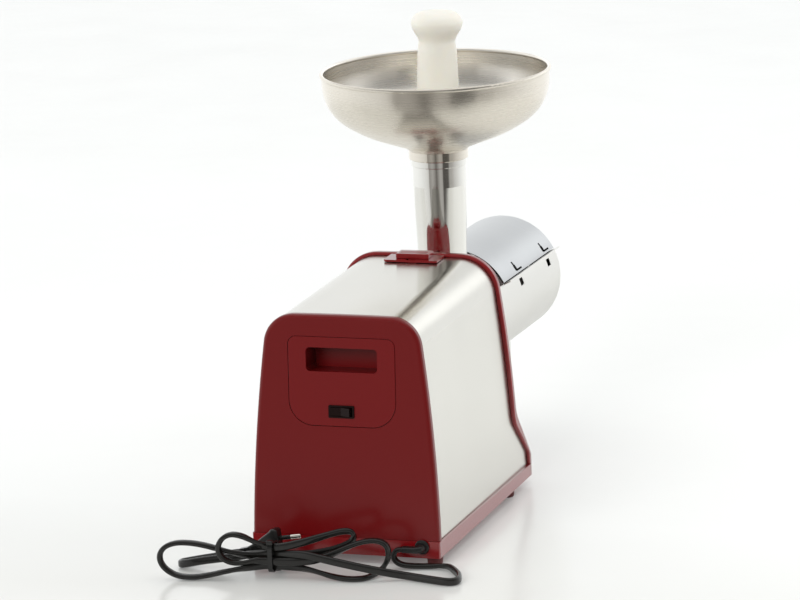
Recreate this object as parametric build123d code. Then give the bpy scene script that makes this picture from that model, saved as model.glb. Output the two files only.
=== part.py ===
from build123d import *
import math
import os

# Electric tomato press.
# Frame: +Z up, floor at z = 0, the press outlet points to -Y, the rear cover with
# the switch faces +Y.  Millimetres.

# ---------------------------------------------------------------- driving sizes
FOOT_H = 7.0                 # foot height, underside of the base tray
Y_REAR = 240.0               # rear lower edge of the casing
Y_FRONT = 11.5               # front plane of the front cover
Y_RIM = 18.7                 # rear face of the proud front rim
Y_PLATE = 18.0               # floor of the round recess for the head ring
Y_TOE = -24.0                # toe of the base
TOE_REAR = -16.2             # rear edge of the rim where it runs down the toe
Y_GUARD = -229.0             # outlet end of the splash guard
Y_TIP = -240.0               # outlet end of the filter cone
REAR_SLOPE = 0.069           # rear face leans forward, tan of the angle
TOE_KINK_Z = 71.0            # height where the front plane breaks into the toe
RIM_KINK_Z = 64.5            # same for the rear face of the rim
TOE_SLOPE, RIM_SLOPE = 0.775, 0.95   # forward run per height of both below the kink

REAR_W = (82.5, 77.5, 65.7)  # half widths of the rear section: bottom, middle, top
REAR_TOP = 207.2
REAR_R = 27.0                # top corner radius, rear section
FRONT_W = (83.4, 79.8, 67.3)
FRONT_TOP = 213.1
FRONT_R = 33.5
SHEET_W = (82.1, 77.2, 65.9) # the sheet wrap widens and rises a little toward the front rim
SHEET_TOP = 211.2
SHEET_R = 32.4
CROWN = 0.8                  # rise of the slightly domed top
SHEET = 0.8                  # housing sheet
WALL = 3.0                   # plastic wall
SPLIT_Z0, SPLIT_Z1 = 17.3, 21.3   # height of the tray edge at the toe and at the rear

PRESS_Z = 144.0              # press axis
BARREL_R, BARREL_IN = 33.0, 29.0
NECK_Y = -48.0               # neck tube axis
NECK_TOP = 279.5
GUARD_R, GUARD_T = 53.6, 0.7
GUARD_Y0 = -74.0             # rear end of the upper guard half
GUARD_LOW_Y0 = -50.0         # rear end of the lower half
GUARD_TILT = 1.15            # the guard hangs down a little toward the outlet, degrees
SEAM_DEG = 26.4              # guard seam above the horizontal
SLIT_A, SLIT_Y = 30.2, (-117.0, -201.4)   # relief slits of the upper half: angle and places along the axis
SLOT_A, SLOT_Y = 18.4, (-116.7, -200.8)   # slots of the lower half
FUNNEL_RIM_Z = 365.0
FUNNEL_R = 100.2
PUSHER_TOP = 415.6
PUSHER_BOTTOM = 186.0
PUSHER_LEAN = 1.3            # the pusher stands a little askew in the wider tube, degrees
PUSHER_PIVOT = 262.0

# gear train: module, pinion teeth, wheel teeth
STAGE1 = (0.8, 12, 60)
STAGE2 = (1.0, 12, 54)
STAGE3 = (1.25, 12, 54)
PRESSURE = 25.0              # pressure angle, degrees
THIN = 0.07                  # tooth thinning per flank

os.makedirs("parts", exist_ok=True)
NODES = {}


def keep(name, shape):
    NODES[name] = shape
    return shape


# ---------------------------------------------------------------- small helpers
def plane_xz(y):
    return Plane(origin=(0, y, 0), x_dir=(1, 0, 0), z_dir=(0, -1, 0))


def ext_y(sk, y0, y1):
    return extrude(plane_xz(y1) * sk, amount=y1 - y0)


def ext_x(sk, x0, x1):
    return extrude(Plane(origin=(x0, 0, 0), x_dir=(0, 1, 0), z_dir=(1, 0, 0)) * sk, amount=x1 - x0)


def ext_z(sk, z0, z1):
    return extrude(Plane(origin=(0, 0, z0)) * sk, amount=z1 - z0)


def cyl_y(r, y0, y1, x=0.0, z=0.0):
    return Pos(x, (y0 + y1) / 2, z) * Rot(90, 0, 0) * Cylinder(r, y1 - y0)


def cyl_z(r, z0, z1, x=0.0, y=0.0):
    return Pos(x, y, (z0 + z1) / 2) * Cylinder(r, z1 - z0)


def block(x0, x1, y0, y1, z0, z1):
    return Pos((x0 + x1) / 2, (y0 + y1) / 2, (z0 + z1) / 2) * Box(x1 - x0, y1 - y0, z1 - z0)


def poly(*pts):
    return make_face(Polyline(*pts, close=True))


def at(x, y, sk):
    return Pos(x, y) * sk


def rev_y(pts, zc=PRESS_Z):
    # profile points (y, radius) turned about the line parallel to Y at height zc
    sk = poly(*[(y, zc + r) for y, r in pts])
    return revolve(Plane.YZ * sk, axis=Axis((0, 0, zc), (0, 1, 0)))


def rev_z(pts, y=NECK_Y):
    # profile points (radius, z) turned about the vertical line through (0, y)
    sk = poly(*pts)
    return Pos(0, y, 0) * revolve(Plane.XZ * sk, axis=Axis.Z)


def polar(r, deg, cx=0.0, cy=0.0):
    return (cx + r * math.cos(math.radians(deg)), cy + r * math.sin(math.radians(deg)))


def sector(r0, r1, a0, a1, cx=0.0, cy=0.0):
    am = (a0 + a1) / 2
    return make_face([
        Line(polar(r0, a0, cx, cy), polar(r1, a0, cx, cy)),
        ThreePointArc(polar(r1, a0, cx, cy), polar(r1, am, cx, cy), polar(r1, a1, cx, cy)),
        Line(polar(r1, a1, cx, cy), polar(r0, a1, cx, cy)),
        ThreePointArc(polar(r0, a1, cx, cy), polar(r0, am, cx, cy), polar(r0, a0, cx, cy)),
    ])


def outline(w, z0, z1, r):
    wb, wm, wt = w
    zm = (z0 + z1) / 2
    f = make_face([
        ThreePointArc((wb, z0), (wm, zm), (wt, z1)),
        ThreePointArc((wt, z1), (0, z1 + CROWN), (-wt, z1)),
        ThreePointArc((-wt, z1), (-wm, zm), (-wb, z0)),
        Line((-wb, z0), (wb, z0)),
    ])
    return fillet(f.vertices().sort_by(Axis.Y)[-2:], r)


def group(*shapes):
    solids = []
    for s in shapes:
        solids += list(s.solids())
    return Compound(children=solids)


def split_z(y):
    return SPLIT_Z0 + (y - Y_TOE) * (SPLIT_Z1 - SPLIT_Z0) / (Y_REAR - Y_TOE)


def rear_y(z):
    return Y_REAR - REAR_SLOPE * (z - FOOT_H)


def above_split(gap):
    return ext_x(poly((-80, split_z(-80) + gap), (300, split_z(300) + gap), (300, 400), (-80, 400)), -150, 150)


def below_split(gap):
    return ext_x(poly((-80, -5), (300, -5), (300, split_z(300) + gap), (-80, split_z(-80) + gap)), -150, 150)


def rear_slab(d0, d1):
    # layer between two planes parallel to the rear face, d measured inward
    return ext_x(poly((rear_y(-10) - d0, -10), (rear_y(240) - d0, 240),
                      (rear_y(240) - d1, 240), (rear_y(-10) - d1, -10)), -150, 150)


_t = math.atan(REAR_SLOPE)
REAR = Plane(origin=(0, Y_REAR, FOOT_H), x_dir=(-1, 0, 0), z_dir=(0, math.cos(_t), math.sin(_t)))


def rear_ext(sk, d0, d1):
    # sketch in the rear face (x to the -X side, y up), extruded from depth d0 to d1 inward
    return extrude(REAR.offset(-d1) * sk, amount=d1 - d0)


def gear_sketch(m, n, phase_deg):
    pa = math.radians(PRESSURE)
    rp = m * n / 2
    rb = rp * math.cos(pa)
    ra = rp + m
    rf = rp - 1.25 * m
    inv = lambda a: math.tan(a) - a
    half_p = math.pi / (2 * n) - THIN / rp

    def half_at(r):
        a = 0.0 if r <= rb else math.acos(rb / r)
        return half_p + inv(pa) - inv(a)
    lo = max(rb, rf)
    radii = ([rf] if rf < rb else []) + [lo + (ra - lo) * k for k in (0.0, 0.3, 0.65, 1.0)]
    pts = []
    for i in range(n):
        c = math.radians(phase_deg) + 2 * math.pi * i / n
        for r in radii:
            h = half_at(r)
            pts.append((r * math.cos(c - h), r * math.sin(c - h)))
        for r in reversed(radii):
            h = half_at(r)
            pts.append((r * math.cos(c + h), r * math.sin(c + h)))
    return poly(*pts)


def gear(m, n, phase_deg, cx, cz, y0, y1, bore):
    return ext_y(at(cx, cz, gear_sketch(m, n, phase_deg)), y0, y1) - cyl_y(bore, y0 - 1, y1 + 1, cx, cz)


# ---------------------------------------------------------------- casing sections
SEC_R = outline(REAR_W, FOOT_H, REAR_TOP, REAR_R)
SEC_F = outline(FRONT_W, FOOT_H, FRONT_TOP, FRONT_R)


def rear_section(d):
    # rear outline moved inward by d on the sides and top
    w = tuple(v - d for v in REAR_W)
    return outline(w, FOOT_H, REAR_TOP - d, max(REAR_R - d, 4))


def front_section(d):
    w = tuple(v - d for v in FRONT_W)
    return outline(w, FOOT_H, FRONT_TOP - d, max(FRONT_R - d, 4))


def sheet_section(d, y):
    # outline of the sheet wrap at y, moved inward by d
    t = (Y_REAR - y) / (Y_REAR - Y_RIM)
    mix = lambda a, b: a + (b - a) * t
    w = tuple(mix(a, b) - d for a, b in zip(REAR_W, SHEET_W))
    return outline(w, FOOT_H, mix(REAR_TOP, SHEET_TOP) - d, mix(REAR_R, SHEET_R) - d)


def sheet_solid(d, y0, y1):
    return loft([plane_xz(y0) * sheet_section(d, y0), plane_xz(y1) * sheet_section(d, y1)], ruled=True)


def rear_tube(d_out, d_in, y0, y1):
    return sheet_solid(d_out, y0, y1) - sheet_solid(d_in, y0 - 1, y1 + 1)


def front_region(d):
    # everything behind the front profile, moved back by d
    y0, y1 = Y_FRONT + d, Y_TOE + d
    zk = TOE_KINK_Z + 0.35 * d
    zt = zk - (y0 - y1) / TOE_SLOPE
    f = poly((y0, 300), (y0, zk), (y1, zt), (y1, -10), (320, -10), (320, 300))
    f = fillet([v for v in f.vertices() if abs(v.Y - zt) < 0.01], 13.0 - d)
    f = fillet([v for v in f.vertices() if abs(v.Y - zk) < 0.01], 24.0 + d)
    return ext_x(f, -150, 150)


def behind_rim(d):
    # everything behind the rear face of the rim, moved forward by d
    y0, y1 = Y_RIM - d, TOE_REAR - d
    zt = RIM_KINK_Z - (y0 - y1) / RIM_SLOPE
    f = poly((y0, 300), (y0, RIM_KINK_Z), (y1, zt), (y1, -10), (320, -10), (320, 300))
    f = fillet([v for v in f.vertices() if abs(v.Y - zt) < 0.01], 9.0)
    f = fillet([v for v in f.vertices() if abs(v.Y - RIM_KINK_Z) < 0.01], 18.0)
    return ext_x(f, -150, 150)


PLAN = fillet(poly((-84.0, Y_TOE), (84.0, Y_TOE), (82.7, Y_REAR + 2), (-82.7, Y_REAR + 2)).vertices(), 5.0)
PLAN_TOE = fillet(poly((-84.0, Y_TOE - 0.4), (84.0, Y_TOE - 0.4), (82.7, Y_REAR + 2), (-82.7, Y_REAR + 2)).vertices(), 5.2)
PLAN_IN = fillet(poly((-81.0, Y_TOE + WALL), (81.0, Y_TOE + WALL), (79.7, Y_REAR - 4), (-79.7, Y_REAR - 4)).vertices(), 3.0)

# ---------------------------------------------------------------- release latch sizes
TONGUE_X, TONGUE_Y, TONGUE_Z0, TONGUE_Z1 = 24.3, 43.0, 211.2, 213.0
LATCH_X, LATCH_Y0, LATCH_Y1, LATCH_Z1 = 15.0, 21.2, 37.0, 217.4
LATCH_TRAVEL = 6.0
STEM_X, STEM_Y0, STEM_Y1 = 4.0, 29.6, 35.4
BOLT_Z = PRESS_Z + 43.0
STEM_SLOT = block(-4.6, 4.6, STEM_Y0 - 0.8, STEM_Y1 + LATCH_TRAVEL + 0.8, 196, 214)

# ---------------------------------------------------------------- base tray
FEET = [(75.0, 27.0), (-75.0, 27.0), (75.5, 231.0), (-75.5, 231.0)]
BASE_SCREWS = [(64.0, -6.0), (-64.0, -6.0), (48.0, 227.0), (-48.0, 227.0)]
MOUNT_SCREWS = [(30.0, 41.0), (-30.0, 41.0), (26.0, 181.0), (-26.0, 181.0)]
GLAND_X, GLAND_Z = -67.5, 16.6

tray = ext_z(PLAN, FOOT_H, 30) & below_split(-0.15) & rear_slab(0, 400)
tray -= ext_z(PLAN_IN, FOOT_H + WALL, 40)
for x, y in FEET:
    tray -= cyl_z(2.5, 0, 12.0, x, y)
for x, y in BASE_SCREWS:
    tray += cyl_z(6.0, FOOT_H + 1, 13.0, x, y)
    tray -= cyl_z(2.0, 0, 20, x, y) + cyl_z(4.0, 0, FOOT_H + 2.5, x, y)
for x, y in MOUNT_SCREWS:
    tray += cyl_z(5.5, FOOT_H + 1, 13.0, x, y)
    tray -= cyl_z(2.0, 0, 20, x, y) + cyl_z(4.0, 0, FOOT_H + 2.5, x, y)
for i in range(7):                       # cooling slots under the motor
    y = 92.0 + 8.0 * i
    for sx in (-1, 1):
        tray -= block(sx * 34 - 20, sx * 34 + 20, y, y + 3.4, 0, FOOT_H + WALL + 1)
for x in (-52.0, 0.0, 52.0):             # stiffening ribs
    if x == 0.0:
        tray += block(x - 1.2, x + 1.2, 60, 84, FOOT_H + 1, 14)
    else:
        tray += block(x - 1.2, x + 1.2, 40, 84, FOOT_H + 1, 14)
tray -= cyl_y(4.6, 230, 246, GLAND_X, GLAND_Z)
keep("base_tray", tray)

# feet: a round pad with a stem pushed into the tray
feet = []
for x, y in FEET:
    pad = Pos(x, y, 0) * revolve(Plane.XZ * poly((0, 0), (5.6, 0), (6.4, 1.2), (6.8, FOOT_H), (0, FOOT_H)), axis=Axis.Z)
    feet.append(pad + cyl_z(2.5, FOOT_H - 1, 11.5, x, y))
keep("feet", group(*feet))

# ---------------------------------------------------------------- housing shell
shell = rear_tube(1.0, 1.0 + SHEET, -60, 250) & behind_rim(3.6) & above_split(0.25) & rear_slab(4.3, 400)
shell -= STEM_SLOT
keep("housing_shell", shell)

# ---------------------------------------------------------------- front cover
band = ext_y(SEC_F, -40, 40) & front_region(0.0)
band -= behind_rim(0.0)
rim_edges = [e for e in band.edges() if e.bounding_box().max.Z > 22 and abs(e.center().X) + e.center().Z > 20
             and (abs(e.bounding_box().size.Y) > 0.01 or abs(e.center().Y - Y_FRONT) < 0.05) and e.bounding_box().size.Z < 170
             and e.bounding_box().max.Y < Y_FRONT + 0.05 and e.bounding_box().size.X < 60 and abs(e.center().X) > 40]
try:
    band = fillet(rim_edges, 1.8)
except Exception as err:
    print("rim edge fillet left out:", err)
front = band & ext_z(PLAN_TOE, 0, 400)
# hollow behind the front wall, a solid band stays along the sheet
front -= sheet_solid(3.9, -60, 60) & front_region(WALL) & ext_z(PLAN_IN, 0, 400)
# groove for the sheet edge and a lip inside the sheet
front -= rear_tube(0.75, 2.05, -60, 60) & behind_rim(4.0)
front += (rear_tube(2.2, 3.6, -60, 60) & behind_rim(1.0) & above_split(2)) - behind_rim(-8.0)
# round recess for the head ring
front += cyl_y(55.0, Y_FRONT + 1.0, 21.5, 0, PRESS_Z)
front -= cyl_y(51.0, -10, Y_PLATE, 0, PRESS_Z)
front = front & above_split(0.15)
# tongue on the top of the casing that guides the release latch
tongue = fillet(poly((-TONGUE_X, Y_RIM - 2), (TONGUE_X, Y_RIM - 2), (TONGUE_X, TONGUE_Y), (-TONGUE_X, TONGUE_Y)).vertices().sort_by(Axis.Y)[-2:], 2.5)
front += ext_z(tongue, TONGUE_Z0, TONGUE_Z1)
front -= STEM_SLOT
front -= cyl_y(37.0, 10, 30, 0, PRESS_Z)          # opening for the press head
front -= cyl_y(3.3, 0, 40, 0, BOLT_Z)             # lock bolt
RING_SCREWS = [polar(43.5, a, 0, PRESS_Z) for a in (45, 135, 225, 315)]
for x, z in RING_SCREWS:
    front -= cyl_y(2.25, 0, 30, x, z)
for x, y in BASE_SCREWS[:2]:                       # screw posts in the toe
    post = cyl_z(5.0, 13.2, 36.0, x, y) - cyl_z(2.0, 5, 32.0, x, y)
    rib = block(x - 1.5, x + 1.5, Y_TOE, y, 20.0, 33.0) - cyl_z(2.0, 5, 40, x, y)
    front += post + (rib & front_region(1.0))
keep("front_cover", front)

# ---------------------------------------------------------------- rear cover and grip panel
PANEL = (46.8, 108.3, 183.1)          # half width, lower and upper edge along the rear face


def panel_sketch(grow):
    w, lo, hi = PANEL[0] + grow, PANEL[1] - grow, PANEL[2] + grow
    f = poly((-w, lo), (w, lo), (w, hi), (-w, hi))
    vs = f.vertices().sort_by(Axis.Y)
    f = fillet(vs[:2], 21.0 + grow)
    vs = f.vertices().sort_by(Axis.Y)
    return fillet(vs[-2:], 7.0 + grow)


rear_out = ext_y(SEC_R, 150, 260) & rear_slab(0, 7)
edge = [e for e in rear_out.edges()
        if abs(REAR.to_local_coords(e.center()).Z) < 0.05 and e.center().Z > 20]
try:
    rear_out = fillet(edge, 3.4)
except Exception as err:
    print("rear edge fillet left out:", err)
rear = rear_out - (ext_y(rear_section(3.4), 150, 260) & rear_slab(WALL, 9))
rear -= rear_tube(0.75, 2.05, 150, 260) & rear_slab(4.0, 9)
rear += rear_tube(2.2, 3.7, 150, 260) & rear_slab(6.0, 16.0) & above_split(2)
rear = rear & above_split(0.15)
rear += rear_ext(panel_sketch(4.0), WALL - 0.01, 5.6)
rear -= rear_ext(panel_sketch(0.4), -2, WALL)
rear -= rear_ext(panel_sketch(-3.0), -2, 12)
for x, y in BASE_SCREWS[2:]:                       # screw posts
    post = cyl_z(5.0, 13.2, 40.0, x, y)
    rib = block(x - 1.5, x + 1.5, y, 237.5, 24.0, 38.0) & rear_slab(1.0, 40)
    rear += (post + rib) - cyl_z(2.0, 5, 36.0, x, y)
keep("rear_cover", rear)

SWITCH_X, SWITCH_Y = -0.7, 120.8                   # centre of the switch in the rear face
POCKET = (31.3, 154.0, 174.2)                      # finger recess: half width, lower, upper edge
pw, pz0, pz1 = POCKET
pocket_in = fillet(poly((-pw, pz0), (pw, pz0), (pw, pz1), (-pw, pz1)).vertices(), 3.6)
pocket_out = fillet(poly((-pw - 2.4, pz0 - 2.4), (pw + 2.4, pz0 - 2.4), (pw + 2.4, pz1 + 2.4), (-pw - 2.4, pz1 + 2.4)).vertices(), 6.0)
panel = rear_ext(panel_sketch(0.0), 0, WALL)
try:
    top_edges = [e for e in panel.edges() if abs(REAR.to_local_coords(e.center()).Z) < 0.02]
    panel = fillet(top_edges, 0.5)
except Exception as err:
    print("panel edge fillet left out:", err)
panel += rear_ext(pocket_out, WALL - 0.5, 27.0)
panel -= rear_ext(pocket_in, -2, 24.6)
panel -= rear_ext(at(SWITCH_X, SWITCH_Y, Rectangle(21.0, 9.6)), -2, 6)
keep("grip_panel", panel)

# ---------------------------------------------------------------- rocker switch
SW = Plane(origin=REAR.from_local_coords(Vector(SWITCH_X, SWITCH_Y, 0)), x_dir=(-1, 0, 0), z_dir=REAR.z_dir)
SW_LOC = SW.location
bezel = fillet(Rectangle(22.4, 10.6).vertices(), 1.0)
sw_local = extrude(bezel, amount=1.2)
sw_local += Pos(0, 0, -8.0) * Box(20.8, 9.4, 16.0)
sw_local -= Pos(0, 0, -2.0) * Box(19.2, 7.8, 10.0)
for tx in (-5.0, 5.0):
    sw_local += Pos(tx, 0, -19.5) * Box(0.8, 4.8, 8.0)
ROCK_DEG = 9.0
ROCK_Z = -1.6
pivot = Pos(0, 0, ROCK_Z) * Rot(90, 0, 0) * Cylinder(1.05, 9.0)
sw_local -= pivot
keep("switch_body", SW_LOC * sw_local)

rk = make_face(Polyline((-8.6, -3.2), (8.6, -3.2), (8.9, 3.0), (0, 1.0), (-8.9, 3.0), close=True))
rk_solid = extrude(Plane(origin=(0, 3.45, 0), x_dir=(1, 0, 0), z_dir=(0, -1, 0)) * rk, amount=6.9)
rk_solid += Pos(0, 0, ROCK_Z) * Rot(90, 0, 0) * Cylinder(1.0, 8.6)
rk_rest = Pos(0, 0, ROCK_Z) * Rot(0, -ROCK_DEG, 0) * Pos(0, 0, -ROCK_Z) * rk_solid
keep("switch_rocker", SW_LOC * rk_rest)
ROCK_AXIS_POINT = SW.from_local_coords(Vector(0, 0, ROCK_Z))
ROCK_AXIS_DIR = SW.y_dir

# ---------------------------------------------------------------- release latch and bolt
latch = block(-LATCH_X, LATCH_X, LATCH_Y0, LATCH_Y1, TONGUE_Z1 + 0.3, LATCH_Z1)
try:
    latch = fillet(latch.edges().filter_by(Axis.Z), 1.6)
    latch = fillet([e for e in latch.edges() if e.center().Z > LATCH_Z1 - 0.01], 0.8)
except Exception as err:
    print("latch fillet left out:", err)
for k in range(3):                                 # finger grooves
    y = 27.6 + 3.0 * k
    latch -= Pos(0, y, LATCH_Z1 + 0.35) * Rot(0, 90, 0) * Cylinder(0.9, 2 * LATCH_X - 5)
latch += block(-STEM_X, STEM_X, STEM_Y0, STEM_Y1, 203.0, TONGUE_Z1 + 1)
keep("release_latch", latch)
bolt = block(-4.0, 4.0, 30.0, 33.0, 183.9, 203.0)
bolt += cyl_y(3.0, 2.0, 31.0, 0, BOLT_Z)
keep("lock_bolt", bolt)

# ---------------------------------------------------------------- head ring and press body
ring = cyl_y(50.0, 6.0, 18.0, 0, PRESS_Z) - cyl_y(33.3, 0, 30, 0, PRESS_Z)
ring -= cyl_y(36.6, 10.4, 15.0, 0, PRESS_Z)
for a in (90, 270):
    ring -= ext_y(sector(30, 36.6, a - 24, a + 24, 0, PRESS_Z), 5, 12)
for x, z in RING_SCREWS:
    ring -= cyl_y(2.25, 0, 30, x, z) + cyl_y(4.1, 0, 10.0, x, z)
ring -= cyl_y(3.3, 0, 30, 0, BOLT_Z)
try:
    ring = fillet([e for e in ring.edges() if abs(e.center().Y - 6.0) < 0.01 and e.geom_type == GeomType.CIRCLE and abs(e.radius - 50) < 0.01], 1.2)
except Exception as err:
    print("ring fillet left out:", err)
keep("head_ring", ring)
keep("head_ring_screws", group(*[cyl_y(4.0, 6.8, 10.0, x, z) - Pos(x, 6.8, z) * Box(6.0, 2.0, 1.2) + cyl_y(2.25, 10.0, 25.0, x, z) for x, z in RING_SCREWS]))

# barrel with flange, spigot with bayonet lugs, neck tube
neck_out = [(0, 160), (21.3, 160), (21.8, 205), (22.3, 222), (23.8, 262), (23.9, NECK_TOP), (24.7, NECK_TOP + 0.6),
            (24.7, NECK_TOP + 5.6), (24.2, NECK_TOP + 6.3), (0, NECK_TOP + 6.3)]
neck_in = [(0, 146), (20.1, 146), (20.6, 205), (21.1, 222), (22.4, 262), (22.4, NECK_TOP + 12), (0, NECK_TOP + 12)]
body = cyl_y(BARREL_R, -86.0, 20.0, 0, PRESS_Z)
body += cyl_y(50.0, 0.2, 6.0, 0, PRESS_Z)          # flange in front of the head ring
body += cyl_y(37.0, -74.0, -72.0, 0, PRESS_Z)      # shoulder for the guard
body += rev_y([(-14, BARREL_R - 1), (0.5, BARREL_R - 1), (0.5, 42.0), (-2.0, 38.5), (-7.0, 35.0)])
for a in (0, 180):
    body += ext_y(sector(31, 36.2, a - 20, a + 20, 0, PRESS_Z), 11.0, 14.4)
body += rev_z(neck_out)
body -= cyl_y(BARREL_IN, -90.0, 2.0, 0, PRESS_Z)
body -= cyl_y(14.08, -5, 12.0, 0, PRESS_Z)         # screw shank runs through the rear wall
body -= cyl_y(BARREL_IN, 8.0, 30.0, 0, PRESS_Z)
body -= rev_z(neck_in)
body -= cyl_y(3.3, -5, 10, 0, BOLT_Z)
try:
    join = [e for e in body.edges() if 175.5 < e.bounding_box().max.Z < 178.5 and e.bounding_box().size.X > 35
            and e.bounding_box().size.Y > 30 and abs(e.bounding_box().center().Y - NECK_Y) < 3]
    body = fillet(join, 2.0)
except Exception as err:
    print("neck fillet left out:", err)
keep("press_body", body)
keep("head_seal", cyl_y(BARREL_IN - 0.02, 8.0, 11.0, 0, PRESS_Z) - cyl_y(14.4, 0, 20, 0, PRESS_Z))

# ---------------------------------------------------------------- feed screw
SCREW_Y0, SCREW_Y1 = -2.0, -226.0
PITCH = 34.0
CORE_R, FLIGHT_R = 12.0, 27.0
blade = make_face([Line(polar(7, -30), polar(FLIGHT_R, -20)),
                   ThreePointArc(polar(FLIGHT_R, -20), polar(FLIGHT_R, 0), polar(FLIGHT_R, 20)),
                   Line(polar(FLIGHT_R, 20), polar(7, 30)), Line(polar(7, 30), polar(7, -30))])
sec = (Circle(CORE_R) + blade).faces()[0]
flight_len = 206.0
flight = Solid.extrude_linear_with_rotation(sec, (0, 0, 0), (0, 0, flight_len), -360.0 * flight_len / PITCH)
flight = Pos(0, -14.0, PRESS_Z) * Rot(90, 0, 0) * flight          # runs toward -Y
envelope = rev_y([(10, 0), (10, FLIGHT_R + 0.3), (-92, FLIGHT_R + 0.3), (SCREW_Y1 + 6, 14.6), (SCREW_Y1, 12.0), (SCREW_Y1, 0)])
screw = flight & envelope
screw += cyl_y(CORE_R, SCREW_Y1 + 1, -12.0, 0, PRESS_Z) & envelope
screw += rev_y([(12.0, 0), (12.0, 14.0), (1.6, 14.0), (1.6, 24.0), (-3.0, 26.0), (-14.4, 24.0), (-14.4, 0)])
screw -= block(-6.1, 6.1, -5.0, 14.0, PRESS_Z - 6.1, PRESS_Z + 6.1)
keep("feed_screw", screw)

# ---------------------------------------------------------------- filter cone and ring nut
CONE_R0, CONE_R1 = 29.4, 16.6
CONE_T = 0.7
cone_out = [(-86.2, 20), (-86.2, 33.2), (-88.2, 33.2), (-88.2, CONE_R0 + CONE_T), (-92.0, CONE_R0 + CONE_T), (-228.0, CONE_R1 + CONE_T),
            (-228.0, 19.6), (-230.0, 20.4), (Y_TIP + 1.2, 20.4), (Y_TIP, 19.8), (Y_TIP, 10)]
cone = rev_y([(-86.2, 0)] + cone_out[1:-1] + [(Y_TIP, 0)])
cone -= rev_y([(-80, 0), (-80, CONE_R0), (-92.0, CONE_R0), (-228.0, CONE_R1), (-232.0, 17.6), (Y_TIP - 2, 19.2), (Y_TIP - 2, 0)])
keep("filter_cone", cone)

nut = rev_y([(-75.6, 33.3), (-75.6, 40.0), (-77.2, 41.6), (-92.4, 41.6), (-94.0, 40.0), (-94.0, 31.6), (-88.4, 31.6), (-88.4, 33.4), (-86.0, 33.4), (-86.0, 33.3)])
for i in range(10):
    x, z = polar(44.0, 36 * i + 18, 0, PRESS_Z)
    nut -= cyl_y(5.4, -97, -72, x, z)
keep("ring_nut", nut)

# ---------------------------------------------------------------- splash guard
R0, R1 = GUARD_R - GUARD_T, GUARD_R
HANG = Pos(0, 0, PRESS_Z) * Rot(GUARD_TILT, 0, 0) * Pos(0, 0, -PRESS_Z)
plate = cyl_y(R0 - 0.7, -75.5, -74.1, 0, PRESS_Z - 1.5) - cyl_y(33.2, -90, -60, 0, PRESS_Z)
keep("guard_end_plate", plate)


def on_guard(r0, r1, a0, a1, y0, y1):
    # piece of a ring on the guard, on the -X side, angles up from the horizontal
    return ext_y(sector(r0, r1, 180 - a1, 180 - a0, 0, PRESS_Z), y0, y1)


lower = ext_y(sector(R0, R1, -180 - SEAM_DEG, SEAM_DEG, 0, PRESS_Z), Y_GUARD, GUARD_LOW_Y0)
# flanges standing out along both seams, the lower half carries them
for side in (1, -1):
    a = SEAM_DEG if side > 0 else 180 - SEAM_DEG
    p0 = polar(R0 + 0.2, a, 0, PRESS_Z)
    p1 = polar(R1 + 6.0, a, 0, PRESS_Z)
    t = (math.cos(math.radians(a - 90)), math.sin(math.radians(a - 90)))
    if side < 0:
        t = (-t[0], -t[1])
    lower += ext_y(poly(p0, p1, (p1[0] + t[0], p1[1] + t[1]), (p0[0] + t[0], p0[1] + t[1])), Y_GUARD, GUARD_Y0)
# end wall of the trough round the cone outlet
lower += ext_y(sector(14.0, R0 + 0.2, -180 - SEAM_DEG, SEAM_DEG, 0, PRESS_Z), Y_GUARD, Y_GUARD + 1.2)
# discharge opening with a short spout
SP_X, SP_Y0, SP_Y1, SP_Z = 21.0, -172.0, -112.0, 74.5
spout_o = block(-SP_X, SP_X, SP_Y0, SP_Y1, SP_Z, 100.0) - cyl_y(R0 + 0.2, -300, 0, 0, PRESS_Z)
lower += spout_o
lower -= block(-SP_X + 1.0, SP_X - 1.0, SP_Y0 + 1.0, SP_Y1 - 1.0, SP_Z - 5, 110.0)
for y in SLOT_Y:                                   # two pairs of slots below the seams
    slot = on_guard(R0 - 2, R1 + 2, SLOT_A - 3.6, SLOT_A + 3.6, y - 4.4, y + 4.4)
    lower -= slot + mirror(slot, Plane.YZ)
lower = HANG * lower
lower -= cyl_y(24.0, -300, -200, 0, PRESS_Z)
keep("guard_lower", lower)

upper = ext_y(sector(R0, R1, SEAM_DEG + 0.9, 180 - SEAM_DEG - 0.9, 0, PRESS_Z), Y_GUARD, GUARD_Y0)
upper += ext_y(sector(14.0, R0 + 0.2, SEAM_DEG + 0.9, 180 - SEAM_DEG - 0.9, 0, PRESS_Z), Y_GUARD, Y_GUARD + 1.2)
for y in SLIT_Y:                                   # L shaped relief slits above the seams
    slit = on_guard(R0 - 2, R1 + 2, SLIT_A, SLIT_A + 9.6, y - 1.7, y + 1.7)
    slit += on_guard(R0 - 2, R1 + 2, SLIT_A, SLIT_A + 5.6, y - 3.0, y + 2.6)
    slit += on_guard(R0 - 2, R1 + 2, SLIT_A - 0.9, SLIT_A + 0.9, y - 15.0, y + 1.0)
    upper -= slit + mirror(slit, Plane.YZ)
upper = HANG * upper
upper -= cyl_y(24.0, -300, -200, 0, PRESS_Z)
keep("guard_upper", upper)

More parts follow.
